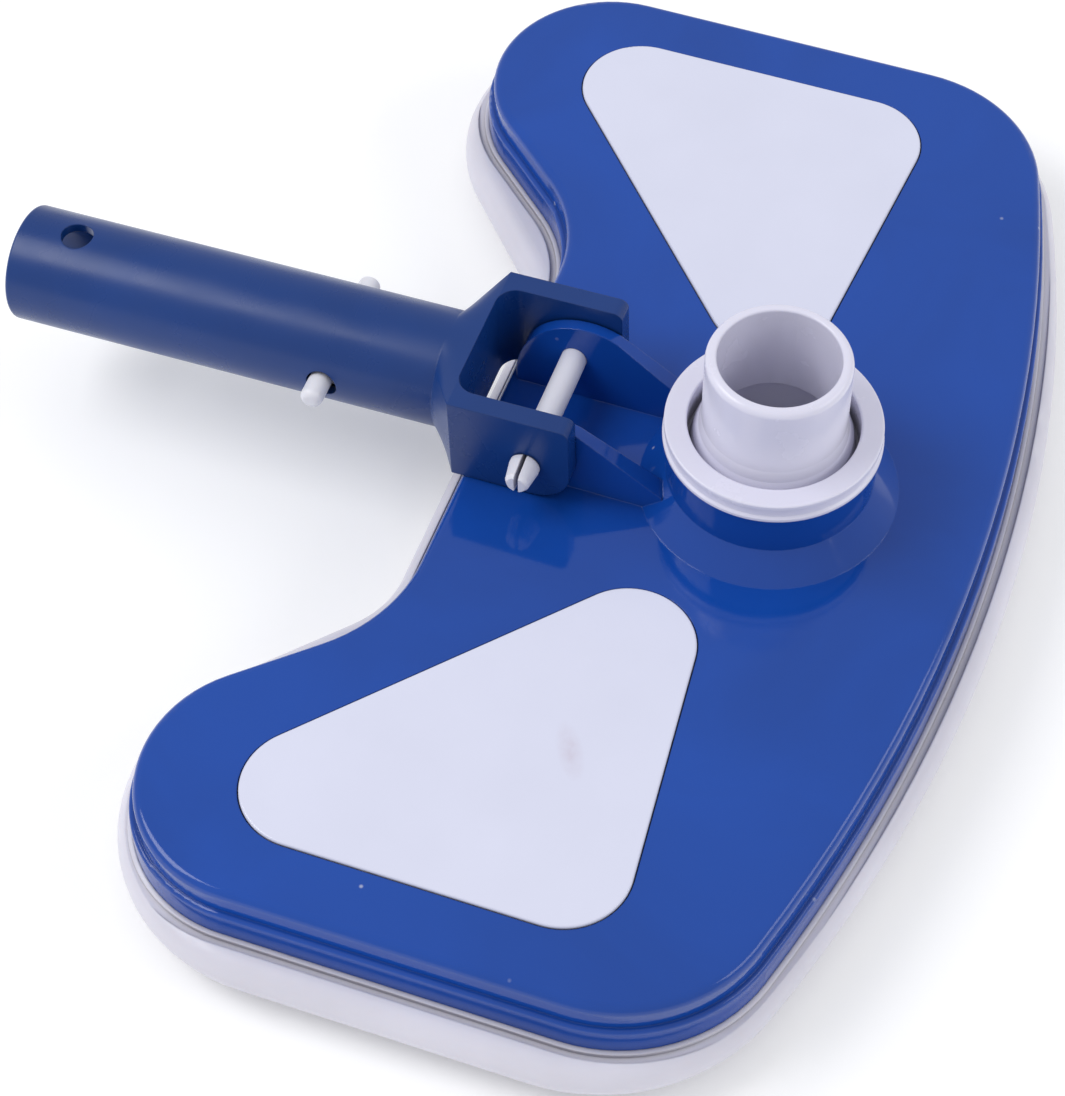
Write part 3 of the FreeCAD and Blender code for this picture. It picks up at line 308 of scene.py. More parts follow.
shaded_vinyl.label, shaded_vinyl.location, shaded_vinyl.parent = "Add painted shade", (-200, 500), frame_painted_shade
shaded_vinyl.data_type = "RGBA"
shaded_vinyl.inputs["B"].default_value = (0.21, 0.195, 0.235, 1)
links.new(hollow.outputs["AO"], groove_shade.inputs["Value"])
links.new(place.outputs["Object"], height.inputs["Vector"])
links.new(height.outputs["Z"], low_edge.inputs["Value"])
links.new(groove_shade.outputs["Result"], shade_sum.inputs[0])
links.new(low_edge.outputs["Result"], shade_sum.inputs[1])
links.new(shade_sum.outputs["Value"], shaded_vinyl.inputs["Factor"])
links.new(cloud_tones.outputs["Color"], shaded_vinyl.inputs["A"])
links.new(shaded_vinyl.outputs["Result"], shader.inputs["Base Color"])

frame_scuff = nodes.new("NodeFrame")
frame_scuff.label = "Scuffed gloss"
scuff = nodes.new("ShaderNodeTexNoise")
scuff.label, scuff.location, scuff.parent = "Scuffs", (-1000, -150), frame_scuff
scuff.inputs["Scale"].default_value = 130.0
scuff.inputs["Detail"].default_value = 8.0
scuff.inputs["Distortion"].default_value = 1.2
scuff_gloss = nodes.new("ShaderNodeMapRange")
scuff_gloss.label, scuff_gloss.location, scuff_gloss.parent = "Gloss range", (-750, -150), frame_scuff
scuff_gloss.inputs["From Min"].default_value = 0.35
scuff_gloss.inputs["From Max"].default_value = 0.70
scuff_gloss.inputs["To Min"].default_value = 0.30
scuff_gloss.inputs["To Max"].default_value = 0.46
links.new(place.outputs["Object"], scuff.inputs["Vector"])
links.new(scuff.outputs["Fac"], scuff_gloss.inputs["Value"])
links.new(scuff_gloss.outputs["Result"], shader.inputs["Roughness"])

frame_skin = nodes.new("NodeFrame")
frame_skin.label = "Vinyl relief"
soft_edge = nodes.new("ShaderNodeBevel")
soft_edge.label, soft_edge.location, soft_edge.parent = "Soft edges", (-500, -450), frame_skin
soft_edge.samples = 6
soft_edge.inputs["Radius"].default_value = 0.0007
ripple = nodes.new("ShaderNodeTexNoise")
ripple.label, ripple.location, ripple.parent = "Slight ripple", (-1000, -450), frame_skin
ripple.inputs["Scale"].default_value = 60.0
ripple.inputs["Detail"].default_value = 2.0
ripple_bump = nodes.new("ShaderNodeBump")
ripple_bump.label, ripple_bump.location, ripple_bump.parent = "Ripple relief", (-200, -450), frame_skin
ripple_bump.inputs["Strength"].default_value = 0.25
ripple_bump.inputs["Distance"].default_value = 0.0006
scuff_bump = nodes.new("ShaderNodeBump")
scuff_bump.label, scuff_bump.location, scuff_bump.parent = "Scuff relief", (100, -450), frame_skin
scuff_bump.inputs["Strength"].default_value = 0.15
scuff_bump.inputs["Distance"].default_value = 0.0001
links.new(place.outputs["Object"], ripple.inputs["Vector"])
links.new(soft_edge.outputs["Normal"], ripple_bump.inputs["Normal"])
links.new(ripple.outputs["Fac"], ripple_bump.inputs["Height"])
links.new(ripple_bump.outputs["Normal"], scuff_bump.inputs["Normal"])
links.new(scuff.outputs["Fac"], scuff_bump.inputs["Height"])
links.new(scuff_bump.outputs["Normal"], shader.inputs["Normal"])
nodes_by_name["bumper"].data.materials.clear()
nodes_by_name["bumper"].data.materials.append(bumper_vinyl)


# ------------------------------------------------------------------ weights
# Two cast-iron ballast slabs lie under the white covers and keep the head on the floor. They
# are sand cast, dipped in a thin dark coat, and rust a little where the coat is thin.
cast_iron = bpy.data.materials.new("cast_iron")
cast_iron.use_nodes = True
tree = cast_iron.node_tree
nodes, links = tree.nodes, tree.links
nodes.clear()
output = nodes.new("ShaderNodeOutputMaterial")
output.label, output.location = "Output", (900, 0)
shader = nodes.new("ShaderNodeBsdfPrincipled")
shader.label, shader.location = "Dipped iron", (600, 0)
shader.inputs["Metallic"].default_value = 0.35
shader.inputs["IOR"].default_value = 1.5
links.new(shader.outputs["BSDF"], output.inputs["Surface"])
place = nodes.new("ShaderNodeTexCoord")
place.label, place.location = "Part position", (-900, 0)
frame_rust = nodes.new("NodeFrame")
frame_rust.label = "Rust through the coat"
rust = nodes.new("ShaderNodeTexNoise")
rust.label, rust.location, rust.parent = "Rust patches", (-600, 250), frame_rust
rust.inputs["Scale"].default_value = 70.0
rust.inputs["Detail"].default_value = 9.0
rust_tones = nodes.new("ShaderNodeValToRGB")
rust_tones.label, rust_tones.location, rust_tones.parent = "Rust tones", (-300, 250), frame_rust
rust_tones.color_ramp.elements[0].position = 0.48
rust_tones.color_ramp.elements[0].color = (0.028, 0.027, 0.026, 1)
rust_tones.color_ramp.elements[1].position = 0.68
rust_tones.color_ramp.elements[1].color = (0.16, 0.062, 0.028, 1)
rust_rough = nodes.new("ShaderNodeMapRange")
rust_rough.label, rust_rough.location, rust_rough.parent = "Rust roughness", (-300, 0), frame_rust
rust_rough.inputs["To Min"].default_value = 0.45
rust_rough.inputs["To Max"].default_value = 0.85
links.new(place.outputs["Object"], rust.inputs["Vector"])
links.new(rust.outputs["Fac"], rust_tones.inputs["Fac"])
links.new(rust.outputs["Fac"], rust_rough.inputs["Value"])
links.new(rust_tones.outputs["Color"], shader.inputs["Base Color"])
links.new(rust_rough.outputs["Result"], shader.inputs["Roughness"])
frame_sand = nodes.new("NodeFrame")
frame_sand.label = "Sand-cast skin"
sand = nodes.new("ShaderNodeTexVoronoi")
sand.label, sand.location, sand.parent = "Sand grains", (-600, -250), frame_sand
sand.inputs["Scale"].default_value = 900.0
sand_bump = nodes.new("ShaderNodeBump")
sand_bump.label, sand_bump.location, sand_bump.parent = "Sand relief", (100, -250), frame_sand
sand_bump.inputs["Strength"].default_value = 0.6
sand_bump.inputs["Distance"].default_value = 0.0003
links.new(place.outputs["Object"], sand.inputs["Vector"])
links.new(sand.outputs["Distance"], sand_bump.inputs["Height"])
links.new(sand_bump.outputs["Normal"], shader.inputs["Normal"])
for node in ("weight_left", "weight_right"):
    nodes_by_name[node].data.materials.clear()
    nodes_by_name[node].data.materials.append(cast_iron)


# ------------------------------------------------------------------ white mouldings
# The weight covers, the swivel spigot and its ring, the pivot pin, the snap clip and the brush
# bars are all small white mouldings. They differ in gloss and in how bluish the white is, and
# each carries light handling haze, a few specks and painted grey shade where it meets its neighbour.
def white_moulding(name, colour, roughness, glow, haze_scale, shade_depth, stain=None):
    material = bpy.data.materials.new(name)
    material.use_nodes = True
    tree = material.node_tree
    nodes, links = tree.nodes, tree.links
    nodes.clear()
    output = nodes.new("ShaderNodeOutputMaterial")
    output.label, output.location = "Output", (1400, 0)
    shader = nodes.new("ShaderNodeBsdfPrincipled")
    shader.label, shader.location = "White plastic", (1100, 0)
    shader.inputs["IOR"].default_value = 1.5
    shader.inputs["Subsurface Weight"].default_value = glow
    shader.inputs["Subsurface Radius"].default_value = (0.003, 0.0025, 0.002)
    shader.inputs["Subsurface Scale"].default_value = 0.5
    links.new(shader.outputs["BSDF"], output.inputs["Surface"])
    place = nodes.new("ShaderNodeTexCoord")
    place.label, place.location = "Part position", (-1300, 0)

    frame_white = nodes.new("NodeFrame")
    frame_white.label = "White and painted shade"
    mottle = nodes.new("ShaderNodeTexNoise")
    mottle.label, mottle.location, mottle.parent = "Mottle", (-1000, 400), frame_white
    mottle.inputs["Scale"].default_value = 30.0
    mottle.inputs["Detail"].default_value = 5.0
    whites = nodes.new("ShaderNodeValToRGB")
    whites.label, whites.location, whites.parent = "Whites", (-750, 400), frame_white
    whites.color_ramp.elements[0].position = 0.3
    whites.color_ramp.elements[0].color = (*[value * 0.965 for value in colour], 1)
    whites.color_ramp.elements[1].position = 0.7
    whites.color_ramp.elements[1].color = (*colour, 1)
    # Painted shade: an occlusion mask darkens the white where the part meets its neighbour.
    joint = nodes.new("ShaderNodeAmbientOcclusion")
    joint.label, joint.location, joint.parent = "Joints", (-1000, 700), frame_white
    joint.samples = 6
    joint.inputs["Distance"].default_value = 0.0022
    joint_shade_amount = nodes.new("ShaderNodeMapRange")
    joint_shade_amount.label, joint_shade_amount.location, joint_shade_amount.parent = "Joint shade", (-750, 700), frame_white
    joint_shade_amount.inputs["From Min"].default_value = 0.2
    joint_shade_amount.inputs["From Max"].default_value = 0.7
    joint_shade_amount.inputs["To Min"].default_value = shade_depth
    joint_shade_amount.inputs["To Max"].default_value = 0.0
    shaded_colour = nodes.new("ShaderNodeMix")
    shaded_colour.label, shaded_colour.location, shaded_colour.parent = "Add painted shade", (-400, 500), frame_white
    shaded_colour.data_type = "RGBA"
    shaded_colour.inputs["B"].default_value = (0.17, 0.16, 0.19, 1)
    links.new(place.outputs["Object"], mottle.inputs["Vector"])
    links.new(mottle.outputs["Fac"], whites.inputs["Fac"])
    links.new(joint.outputs["AO"], joint_shade_amount.inputs["Value"])
    links.new(joint_shade_amount.outputs["Result"], shaded_colour.inputs["Factor"])
    links.new(whites.outputs["Color"], shaded_colour.inputs["A"])
    finished_colour = shaded_colour.outputs["Result"]
    if stain:
        # One faint rubbed mark, longer than it is wide, with a broken edge.
        frame_stain = nodes.new("NodeFrame")
        frame_stain.label = "Rubbed mark"
        aim = nodes.new("ShaderNodeMapping")
        aim.label, aim.location, aim.parent = "Mark place", (-1000, 1000), frame_stain
        aim.vector_type = "TEXTURE"
        aim.inputs["Location"].default_value = stain
        aim.inputs["Rotation"].default_value = (0, 0, 0.5)
        aim.inputs["Scale"].default_value = (0.0095, 0.0035, 0.01)
        blob = nodes.new("ShaderNodeTexGradient")
        blob.label, blob.location, blob.parent = "Mark shape", (-750, 1000), frame_stain
        blob.gradient_type = "SPHERICAL"
        ragged = nodes.new("ShaderNodeTexNoise")
        ragged.label, ragged.location, ragged.parent = "Ragged edge", (-1000, 1250), frame_stain
        ragged.inputs["Scale"].default_value = 420.0
        ragged.inputs["Detail"].default_value = 4.0
        mark = nodes.new("ShaderNodeMath")
        mark.label, mark.location, mark.parent = "Break it up", (-500, 1100), frame_stain
        mark.operation = "MULTIPLY"
        faint = nodes.new("ShaderNodeMath")
        faint.label, faint.location, faint.parent = "Faint", (-300, 1100), frame_stain
        faint.operation = "MULTIPLY"
        faint.inputs[1].default_value = 0.55
        marked = nodes.new("ShaderNodeMix")
        marked.label, marked.location, marked.parent = "Add mark", (-100, 700), frame_stain
        marked.data_type = "RGBA"
        marked.inputs["B"].default_value = (0.48, 0.36, 0.42, 1)
        links.new(place.outputs["Object"], aim.inputs["Vector"])
        links.new(aim.outputs["Vector"], blob.inputs["Vector"])
        links.new(place.outputs["Object"], ragged.inputs["Vector"])
        links.new(blob.outputs["Fac"], mark.inputs[0])
        links.new(ragged.outputs["Fac"], mark.inputs[1])
        links.new(mark.outputs["Value"], faint.inputs[0])
        links.new(faint.outputs["Value"], marked.inputs["Factor"])
        links.new(finished_colour, marked.inputs["A"])
        finished_colour = marked.outputs["Result"]
    links.new(finished_colour, shader.inputs["Base Color"])

    frame_haze = nodes.new("NodeFrame")
    frame_haze.label = "Handling haze"
    haze = nodes.new("ShaderNodeTexNoise")
    haze.label, haze.location, haze.parent = "Haze", (-1000, -100), frame_haze
    haze.inputs["Scale"].default_value = haze_scale
    haze.inputs["Detail"].default_value = 7.0
    haze_range = nodes.new("ShaderNodeMapRange")
    haze_range.label, haze_range.location, haze_range.parent = "Gloss range", (-750, -100), frame_haze
    haze_range.inputs["From Min"].default_value = 0.3
    haze_range.inputs["From Max"].default_value = 0.72
    haze_range.inputs["To Min"].default_value = roughness * 0.8
    haze_range.inputs["To Max"].default_value = roughness * 1.4
    links.new(place.outputs["Object"], haze.inputs["Vector"])
    links.new(haze.outputs["Fac"], haze_range.inputs["Value"])
    links.new(haze_range.outputs["Result"], shader.inputs["Roughness"])

    frame_relief = nodes.new("NodeFrame")
    frame_relief.label = "Relief"
    soft = nodes.new("ShaderNodeBevel")
    soft.label, soft.location, soft.parent = "Soft arrises", (-500, -400), frame_relief
    soft.samples = 6
    soft.inputs["Radius"].default_value = 0.0004
    skin = nodes.new("ShaderNodeTexNoise")
    skin.label, skin.location, skin.parent = "Moulded skin", (-1000, -400), frame_relief
    skin.inputs["Scale"].default_value = 48.0
    skin.inputs["Detail"].default_value = 3.0
    skin_bump = nodes.new("ShaderNodeBump")
    skin_bump.label, skin_bump.location, skin_bump.parent = "Skin relief", (-200, -400), frame_relief
    skin_bump.inputs["Strength"].default_value = 0.12
    skin_bump.inputs["Distance"].default_value = 0.0004
    nick = nodes.new("ShaderNodeTexVoronoi")
    nick.label, nick.location, nick.parent = "Nicks", (-1000, -650), frame_relief
    nick.inputs["Scale"].default_value = 150.0
    nick_size = nodes.new("ShaderNodeMapRange")
    nick_size.label, nick_size.location, nick_size.parent = "Nick size", (-750, -650), frame_relief
    nick_size.inputs["From Min"].default_value = 0.02
    nick_size.inputs["From Max"].default_value = 0.07
    nick_bump = nodes.new("ShaderNodeBump")
    nick_bump.label, nick_bump.location, nick_bump.parent = "Nick relief", (100, -400), frame_relief
    nick_bump.inputs["Strength"].default_value = 0.2
    nick_bump.inputs["Distance"].default_value = 0.0001
    links.new(place.outputs["Object"], skin.inputs["Vector"])
    links.new(place.outputs["Object"], nick.inputs["Vector"])
    links.new(soft.outputs["Normal"], skin_bump.inputs["Normal"])
    links.new(skin.outputs["Fac"], skin_bump.inputs["Height"])
    links.new(nick.outputs["Distance"], nick_size.inputs["Value"])
    links.new(skin_bump.outputs["Normal"], nick_bump.inputs["Normal"])
    links.new(nick_size.outputs["Result"], nick_bump.inputs["Height"])
    links.new(nick_bump.outputs["Normal"], shader.inputs["Normal"])
    return material


# The left cover has one rubbed mark, at this place in metres.
rubbed_place = (-0.098, -0.052, 0.0347)
white_finishes = [
    (white_moulding("cover_right_white", (0.70, 0.715, 0.86), 0.14, 0.0, 60.0, 0.6),
     "cover_white", ["cover_plate_right"]),
    (white_moulding("cover_left_white", (0.70, 0.715, 0.86), 0.14, 0.0, 60.0, 0.6, rubbed_place),
     "cover_white", ["cover_plate_left"]),
    (white_moulding("swivel_white", (0.74, 0.73, 0.86), 0.22, 0.06, 80.0, 0.5),
     "joint_white", ["hose_spigot", "retaining_ring"]),
    (white_moulding("pin_nylon", (0.74, 0.74, 0.82), 0.36, 0.15, 140.0, 0.45),
     "pin_white", ["pivot_pin"]),
    (white_moulding("clip_acetal", (0.76, 0.76, 0.82), 0.34, 0.12, 140.0, 0.45),
     "clip_white", ["clip_bow", "clip_leg_left", "clip_leg_right"]),
    (white_moulding("bar_polypropylene", (0.66, 0.66, 0.70), 0.42, 0.10, 90.0, 0.6),
     "bar_white", [name for name in nodes_by_name if name.startswith("brush_bar_")]),
]
for plastic, slot_name, names in white_finishes:
    for node in names:
        nodes_by_name[node].data.materials.clear()
        nodes_by_name[node].data.materials.append(plastic)


# ------------------------------------------------------------------ spigot seal
# A flat ring cut from black rubber sheet seals the swivel flange against its seat. Its faces
# keep the faint weave of the sheet it was cut from.
seal_rubber = bpy.data.materials.new("seal_rubber")
seal_rubber.use_nodes = True
tree = seal_rubber.node_tree
nodes, links = tree.nodes, tree.links
nodes.clear()
output = nodes.new("ShaderNodeOutputMaterial")
output.label, output.location = "Output", (700, 0)
shader = nodes.new("ShaderNodeBsdfPrincipled")
shader.label, shader.location = "Rubber", (400, 0)
shader.inputs["IOR"].default_value = 1.52
links.new(shader.outputs["BSDF"], output.inputs["Surface"])
place = nodes.new("ShaderNodeTexCoord")
place.label, place.location = "Part position", (-800, 0)
frame_rubber = nodes.new("NodeFrame")
frame_rubber.label = "Sheet rubber"
bloom = nodes.new("ShaderNodeTexNoise")
bloom.label, bloom.location, bloom.parent = "Bloom", (-550, 150), frame_rubber
bloom.inputs["Scale"].default_value = 220.0
bloom.inputs["Detail"].default_value = 5.0
bloom_tones = nodes.new("ShaderNodeValToRGB")
bloom_tones.label, bloom_tones.location, bloom_tones.parent = "Bloom tones", (-300, 150), frame_rubber
bloom_tones.color_ramp.elements[0].color = (0.008, 0.008, 0.009, 1)
bloom_tones.color_ramp.elements[1].color = (0.045, 0.045, 0.048, 1)
rubber_rough = nodes.new("ShaderNodeMapRange")
rubber_rough.label, rubber_rough.location = "Rubber roughness", (-300, -80)
rubber_rough.parent = frame_rubber
rubber_rough.inputs["To Min"].default_value = 0.55
rubber_rough.inputs["To Max"].default_value = 0.85
weave = nodes.new("ShaderNodeTexWave")
weave.label, weave.location, weave.parent = "Sheet weave", (-550, -250), frame_rubber
weave.inputs["Scale"].default_value = 700.0
weave_bump = nodes.new("ShaderNodeBump")
weave_bump.label, weave_bump.location, weave_bump.parent = "Weave relief", (0, -250), frame_rubber
weave_bump.inputs["Strength"].default_value = 0.3
weave_bump.inputs["Distance"].default_value = 0.0001
links.new(place.outputs["Object"], bloom.inputs["Vector"])
links.new(place.outputs["Object"], weave.inputs["Vector"])
links.new(bloom.outputs["Fac"], bloom_tones.inputs["Fac"])
links.new(bloom.outputs["Fac"], rubber_rough.inputs["Value"])
links.new(bloom_tones.outputs["Color"], shader.inputs["Base Color"])
links.new(rubber_rough.outputs["Result"], shader.inputs["Roughness"])
links.new(weave.outputs["Fac"], weave_bump.inputs["Height"])
links.new(weave_bump.outputs["Normal"], shader.inputs["Normal"])
nodes_by_name["spigot_seal"].data.materials.clear()
nodes_by_name["spigot_seal"].data.materials.append(seal_rubber)


# ------------------------------------------------------------------ handle
# The fork and tube are one ABS moulding, darker and more satin than the shell. A pole slides
# over the tube, so the gloss is clouded and finely scratched.
handle_plastic = moulded_abs("handle_abs", (0.005, 0.038, 0.185), 0.27, 0.0, 0.22, 0.30)
nodes_by_name["handle"].data.materials.clear()
nodes_by_name["handle"].data.materials.append(handle_plastic)


# ------------------------------------------------------------------ screws
# Stainless self-tapping screws hold the base plate. The heads are turned, so a fine circular
# finish catches the light, with water marks from use.
stainless = bpy.data.materials.new("stainless")
stainless.use_nodes = True
tree = stainless.node_tree
nodes, links = tree.nodes, tree.links
nodes.clear()
output = nodes.new("ShaderNodeOutputMaterial")
output.label, output.location = "Output", (800, 0)
shader = nodes.new("ShaderNodeBsdfPrincipled")
shader.label, shader.location = "Stainless steel", (500, 0)
shader.inputs["Metallic"].default_value = 1.0
links.new(shader.outputs["BSDF"], output.inputs["Surface"])
place = nodes.new("ShaderNodeTexCoord")
place.label, place.location = "Part position", (-800, 0)
frame_steel = nodes.new("NodeFrame")
frame_steel.label = "Turned finish and water marks"
marks = nodes.new("ShaderNodeTexNoise")
marks.label, marks.location, marks.parent = "Water marks", (-550, 150), frame_steel
marks.inputs["Scale"].default_value = 500.0
marks.inputs["Detail"].default_value = 6.0
steel_tones = nodes.new("ShaderNodeValToRGB")
steel_tones.label, steel_tones.location, steel_tones.parent = "Steel tones", (-300, 150), frame_steel
steel_tones.color_ramp.elements[0].color = (0.38, 0.37, 0.36, 1)
steel_tones.color_ramp.elements[1].color = (0.62, 0.62, 0.63, 1)
steel_rough = nodes.new("ShaderNodeMapRange")
steel_rough.label, steel_rough.location, steel_rough.parent = "Steel roughness", (-300, -80), frame_steel
steel_rough.inputs["To Min"].default_value = 0.22
steel_rough.inputs["To Max"].default_value = 0.5
turning = nodes.new("ShaderNodeTexWave")
turning.label, turning.location, turning.parent = "Turning marks", (-550, -250), frame_steel
turning.wave_type = "RINGS"
turning.inputs["Scale"].default_value = 1500.0
turning_bump = nodes.new("ShaderNodeBump")
turning_bump.label, turning_bump.location, turning_bump.parent = "Turning relief", (0, -250), frame_steel
turning_bump.inputs["Strength"].default_value = 0.2
turning_bump.inputs["Distance"].default_value = 0.00005
links.new(place.outputs["Object"], marks.inputs["Vector"])
links.new(place.outputs["Object"], turning.inputs["Vector"])
links.new(marks.outputs["Fac"], steel_tones.inputs["Fac"])
links.new(marks.outputs["Fac"], steel_rough.inputs["Value"])
links.new(steel_tones.outputs["Color"], shader.inputs["Base Color"])
links.new(steel_rough.outputs["Result"], shader.inputs["Roughness"])
links.new(turning.outputs["Fac"], turning_bump.inputs["Height"])
links.new(turning_bump.outputs["Normal"], shader.inputs["Normal"])
nodes_by_name["base_screws"].data.materials.clear()
nodes_by_name["base_screws"].data.materials.append(stainless)


# ------------------------------------------------------------------ bristles
# Tufts of nylon filament are stapled into each brush bar in two rows. The filaments are
# slightly splayed and end on the floor; they replace the plain blocks that stand in for them.
tuft_pitch = 0.0032
row_offset = 0.0014
tuft_radius = 0.00105
tuft_splay = 1.25
tip_lean = 0.0004
tip_wear = 0.0003
strands_per_tuft = 9
strand_turn = 2.4
strand_radius = 0.00016
strand_sides = 4

filament = bpy.data.materials.new("nylon_filament")
filament.use_nodes = True
tree = filament.node_tree
nodes, links = tree.nodes, tree.links
nodes.clear()
output = nodes.new("ShaderNodeOutputMaterial")
output.label, output.location = "Output", (800, 0)
shader = nodes.new("ShaderNodeBsdfPrincipled")
shader.label, shader.location = "Nylon", (500, 0)
shader.inputs["IOR"].default_value = 1.53
shader.inputs["Transmission Weight"].default_value = 0.15
links.new(shader.outputs["BSDF"], output.inputs["Surface"])
place = nodes.new("ShaderNodeTexCoord")
place.label, place.location = "Part position", (-800, 0)
frame_filament = nodes.new("NodeFrame")
frame_filament.label = "Filament tones"
strand = nodes.new("ShaderNodeTexNoise")
strand.label, strand.location, strand.parent = "Strand tones", (-550, 150), frame_filament
strand.inputs["Scale"].default_value = 900.0
strand.inputs["Detail"].default_value = 3.0
strand_tones = nodes.new("ShaderNodeValToRGB")
strand_tones.label, strand_tones.location = "Nylon tones", (-300, 150)
strand_tones.parent = frame_filament
strand_tones.color_ramp.elements[0].color = (0.50, 0.52, 0.56, 1)
strand_tones.color_ramp.elements[1].color = (0.76, 0.78, 0.83, 1)
strand_rough = nodes.new("ShaderNodeMapRange")
strand_rough.label, strand_rough.location = "Nylon roughness", (-300, -80)
strand_rough.parent = frame_filament
strand_rough.inputs["To Min"].default_value = 0.25
strand_rough.inputs["To Max"].default_value = 0.45
strand_bump = nodes.new("ShaderNodeBump")
strand_bump.label, strand_bump.location, strand_bump.parent = "Crimp", (0, -250), frame_filament
strand_bump.inputs["Strength"].default_value = 0.3
strand_bump.inputs["Distance"].default_value = 0.0001
links.new(place.outputs["Object"], strand.inputs["Vector"])
links.new(strand.outputs["Fac"], strand_tones.inputs["Fac"])
links.new(strand.outputs["Fac"], strand_rough.inputs["Value"])
links.new(strand.outputs["Fac"], strand_bump.inputs["Height"])
links.new(strand_tones.outputs["Color"], shader.inputs["Base Color"])
links.new(strand_rough.outputs["Result"], shader.inputs["Roughness"])
links.new(strand_bump.outputs["Normal"], shader.inputs["Normal"])

scatter = random.Random(7)
bar_turns = {"front": 7.4, "side": 90.0, "lobe": 47.7, "rear": 0.0}
bar_runs = {"front": 0.0845, "side": 0.0805, "lobe": 0.0425, "rear": 0.0345}
for bar, turn in bar_turns.items():
    for side, hand in ((1, "right"), (-1, "left")):
        block = f"bristles_{bar}_{hand}"
        low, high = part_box(block)
        middle = (low + high) / 2
        spin = Matrix.Rotation(math.radians(side * turn), 4, "Z")
        run = bar_runs[bar]
        tufts = max(2, round(run / tuft_pitch))
        verts, faces = [], []
        for tuft in range(tufts):
            for row in (-1, 1):
                along = -run / 2 + run * (tuft + 0.5) / tufts
                foot = Vector((along, row * row_offset, 0))
                for strand_index in range(strands_per_tuft):
                    angle = strand_index * strand_turn
                    reach = tuft_radius * math.sqrt(strand_index / strands_per_tuft)
                    root = foot + Vector((math.cos(angle), math.sin(angle), 0)) * reach
                    lean = Vector((scatter.uniform(-1, 1), scatter.uniform(-1, 1), 0)) * tip_lean
                    tip = foot + (root - foot) * tuft_splay + lean
                    root_start = len(verts)
                    tip_start = root_start + strand_sides
                    for point, z in ((root, high.z), (tip, low.z + scatter.uniform(0, tip_wear))):
                        for corner in range(strand_sides):
                            turned = 2 * math.pi * corner / strand_sides + angle
                            offset = Vector((math.cos(turned), math.sin(turned), 0)) * strand_radius
                            spot = spin @ (point + offset)
                            verts.append((spot.x + middle.x, spot.y + middle.y, z))
                    for corner in range(strand_sides):
                        after = (corner + 1) % strand_sides
                        faces.append((root_start + corner, root_start + after,
                                      tip_start + after, tip_start + corner))
                    faces.append(tuple(tip_start + corner for corner in range(strand_sides)))
                    faces.append(tuple(root_start + corner for corner in reversed(range(strand_sides))))
        mesh = bpy.data.meshes.new(f"filaments_{bar}_{hand}")
        mesh.from_pydata(verts, [], faces)
        mesh.materials.append(filament)
        brush = bpy.data.objects.new(f"filaments_{bar}_{hand}", mesh)
        bpy.context.scene.collection.objects.link(brush)
        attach(brush, "head")
        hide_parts(block)


# ------------------------------------------------------------------ floor, light and camera
# A pale seamless floor, one large soft key above and behind the head, a long fill on the near
# side and an even white surround, as for a catalogue picture. The floor glows a little, like a
# lit table, which keeps the shadows pale.
floor_paint = bpy.data.materials.new("floor_paint")
floor_paint.use_nodes = True
tree = floor_paint.node_tree
nodes, links = tree.nodes, tree.links
nodes.clear()
output = nodes.new("ShaderNodeOutputMaterial")
output.label, output.location = "Output", (300, 0)
shader = nodes.new("ShaderNodeBsdfPrincipled")
shader.label, shader.location = "Matt white", (0, 0)
shader.inputs["Base Color"].default_value = (0.93, 0.93, 0.93, 1)
shader.inputs["Emission Color"].default_value = (1, 1, 1, 1)
shader.inputs["Emission Strength"].default_value = 0.13
shader.inputs["Roughness"].default_value = 0.9
shader.inputs["Specular IOR Level"].default_value = 0.1
links.new(shader.outputs["BSDF"], output.inputs["Surface"])
floor_mesh = bpy.data.meshes.new("floor")
floor_reach = 4
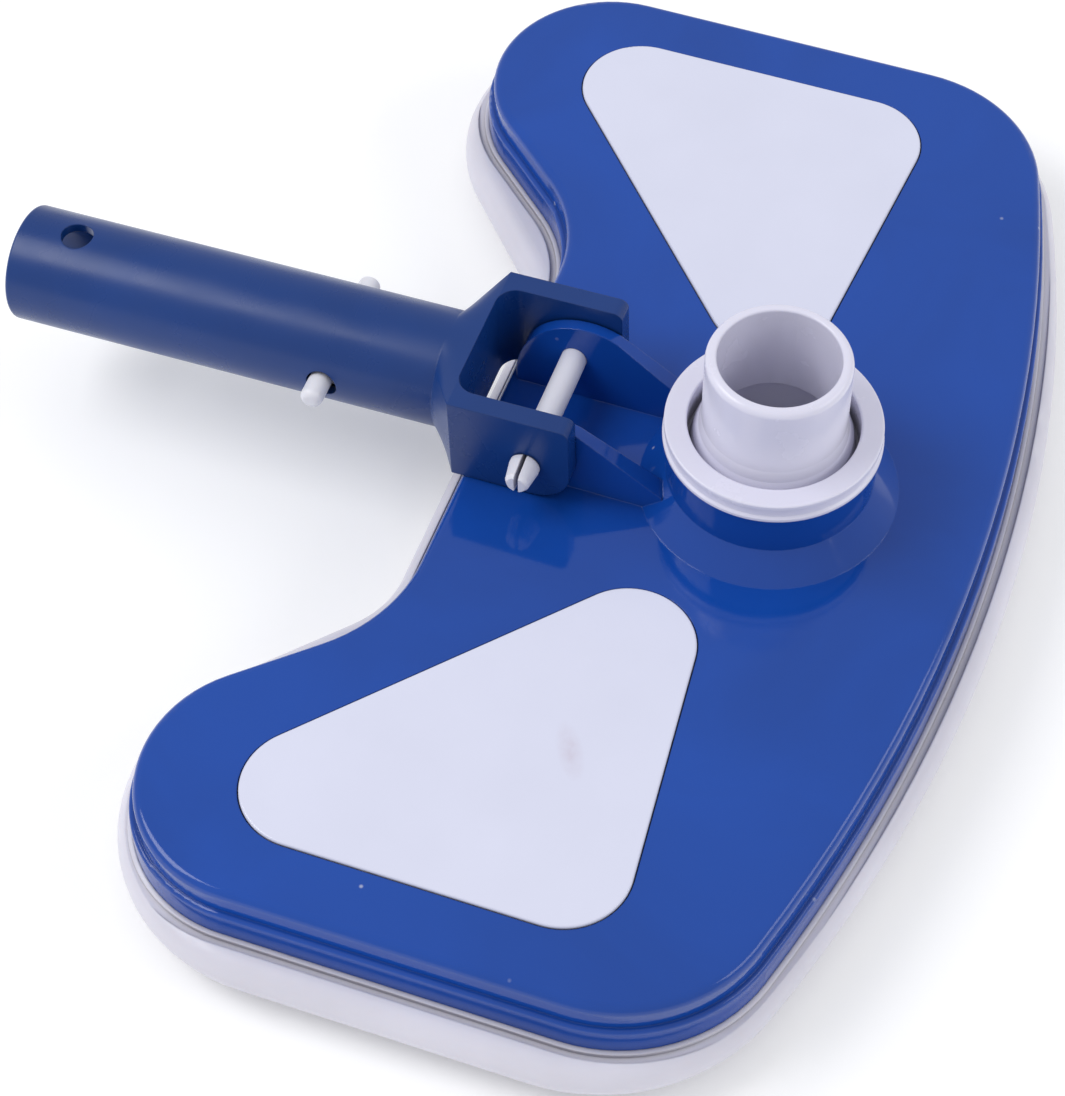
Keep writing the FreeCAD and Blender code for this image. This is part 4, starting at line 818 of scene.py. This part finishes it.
floor_corners = [(x * floor_reach, y * floor_reach, 0) for x, y in ((-1, -1), (1, -1), (1, 1), (-1, 1))]
floor_mesh.from_pydata(floor_corners, [], [(0, 1, 2, 3)])
floor_mesh.materials.append(floor_paint)
floor = bpy.data.objects.new("floor", floor_mesh)
bpy.context.scene.collection.objects.link(floor)

world = bpy.data.worlds.new("surround")
bpy.context.scene.world = world
world.use_nodes = True
surround = next(node for node in world.node_tree.nodes if node.type == "BACKGROUND")
surround.inputs["Color"].default_value = (0.96, 0.97, 1.0, 1)
surround.inputs["Strength"].default_value = 0.66

for name, spot, energy, across, tall in (
        ("key", (-0.35, 1.0, 1.30), 12.0, 1.0, 0.8),
        ("fill", (0.2, -1.3, 0.9), 5.0, 1.2, 0.5)):
    lamp = bpy.data.lights.new(name, "AREA")
    lamp.shape = "RECTANGLE"
    lamp.size = across
    lamp.size_y = tall
    lamp.energy = energy
    holder = bpy.data.objects.new(name, lamp)
    holder.location = spot
    holder.rotation_euler = (-Vector(spot)).to_track_quat("-Z", "Y").to_euler()
    bpy.context.scene.collection.objects.link(holder)

# The camera looks down on the head from its left end with a long lens.
azimuth, elevation, roll = (math.radians(angle) for angle in (-69.88, 53.0, -0.43))
look_at = Vector((-0.04098, -0.02158, 0.034))
camera_distance = 0.80799
back = Vector((math.sin(azimuth) * math.cos(elevation), -math.cos(azimuth) * math.cos(elevation),
               math.sin(elevation)))
right = Vector((math.cos(azimuth), math.sin(azimuth), 0))
up = back.cross(right)
turned_right = right * math.cos(roll) + up * math.sin(roll)
turned_up = up * math.cos(roll) - right * math.sin(roll)
camera_data = bpy.data.cameras.new("camera")
camera_data.lens = 101.34
camera_data.sensor_width = 36.0
camera_data.clip_start = 0.05
camera = bpy.data.objects.new("camera", camera_data)
axes = Matrix((turned_right, turned_up, back)).transposed().to_4x4()
camera.matrix_world = Matrix.Translation(look_at + back * camera_distance) @ axes
bpy.context.scene.collection.objects.link(camera)
bpy.context.scene.camera = camera
bpy.context.scene.view_settings.view_transform = "Standard"
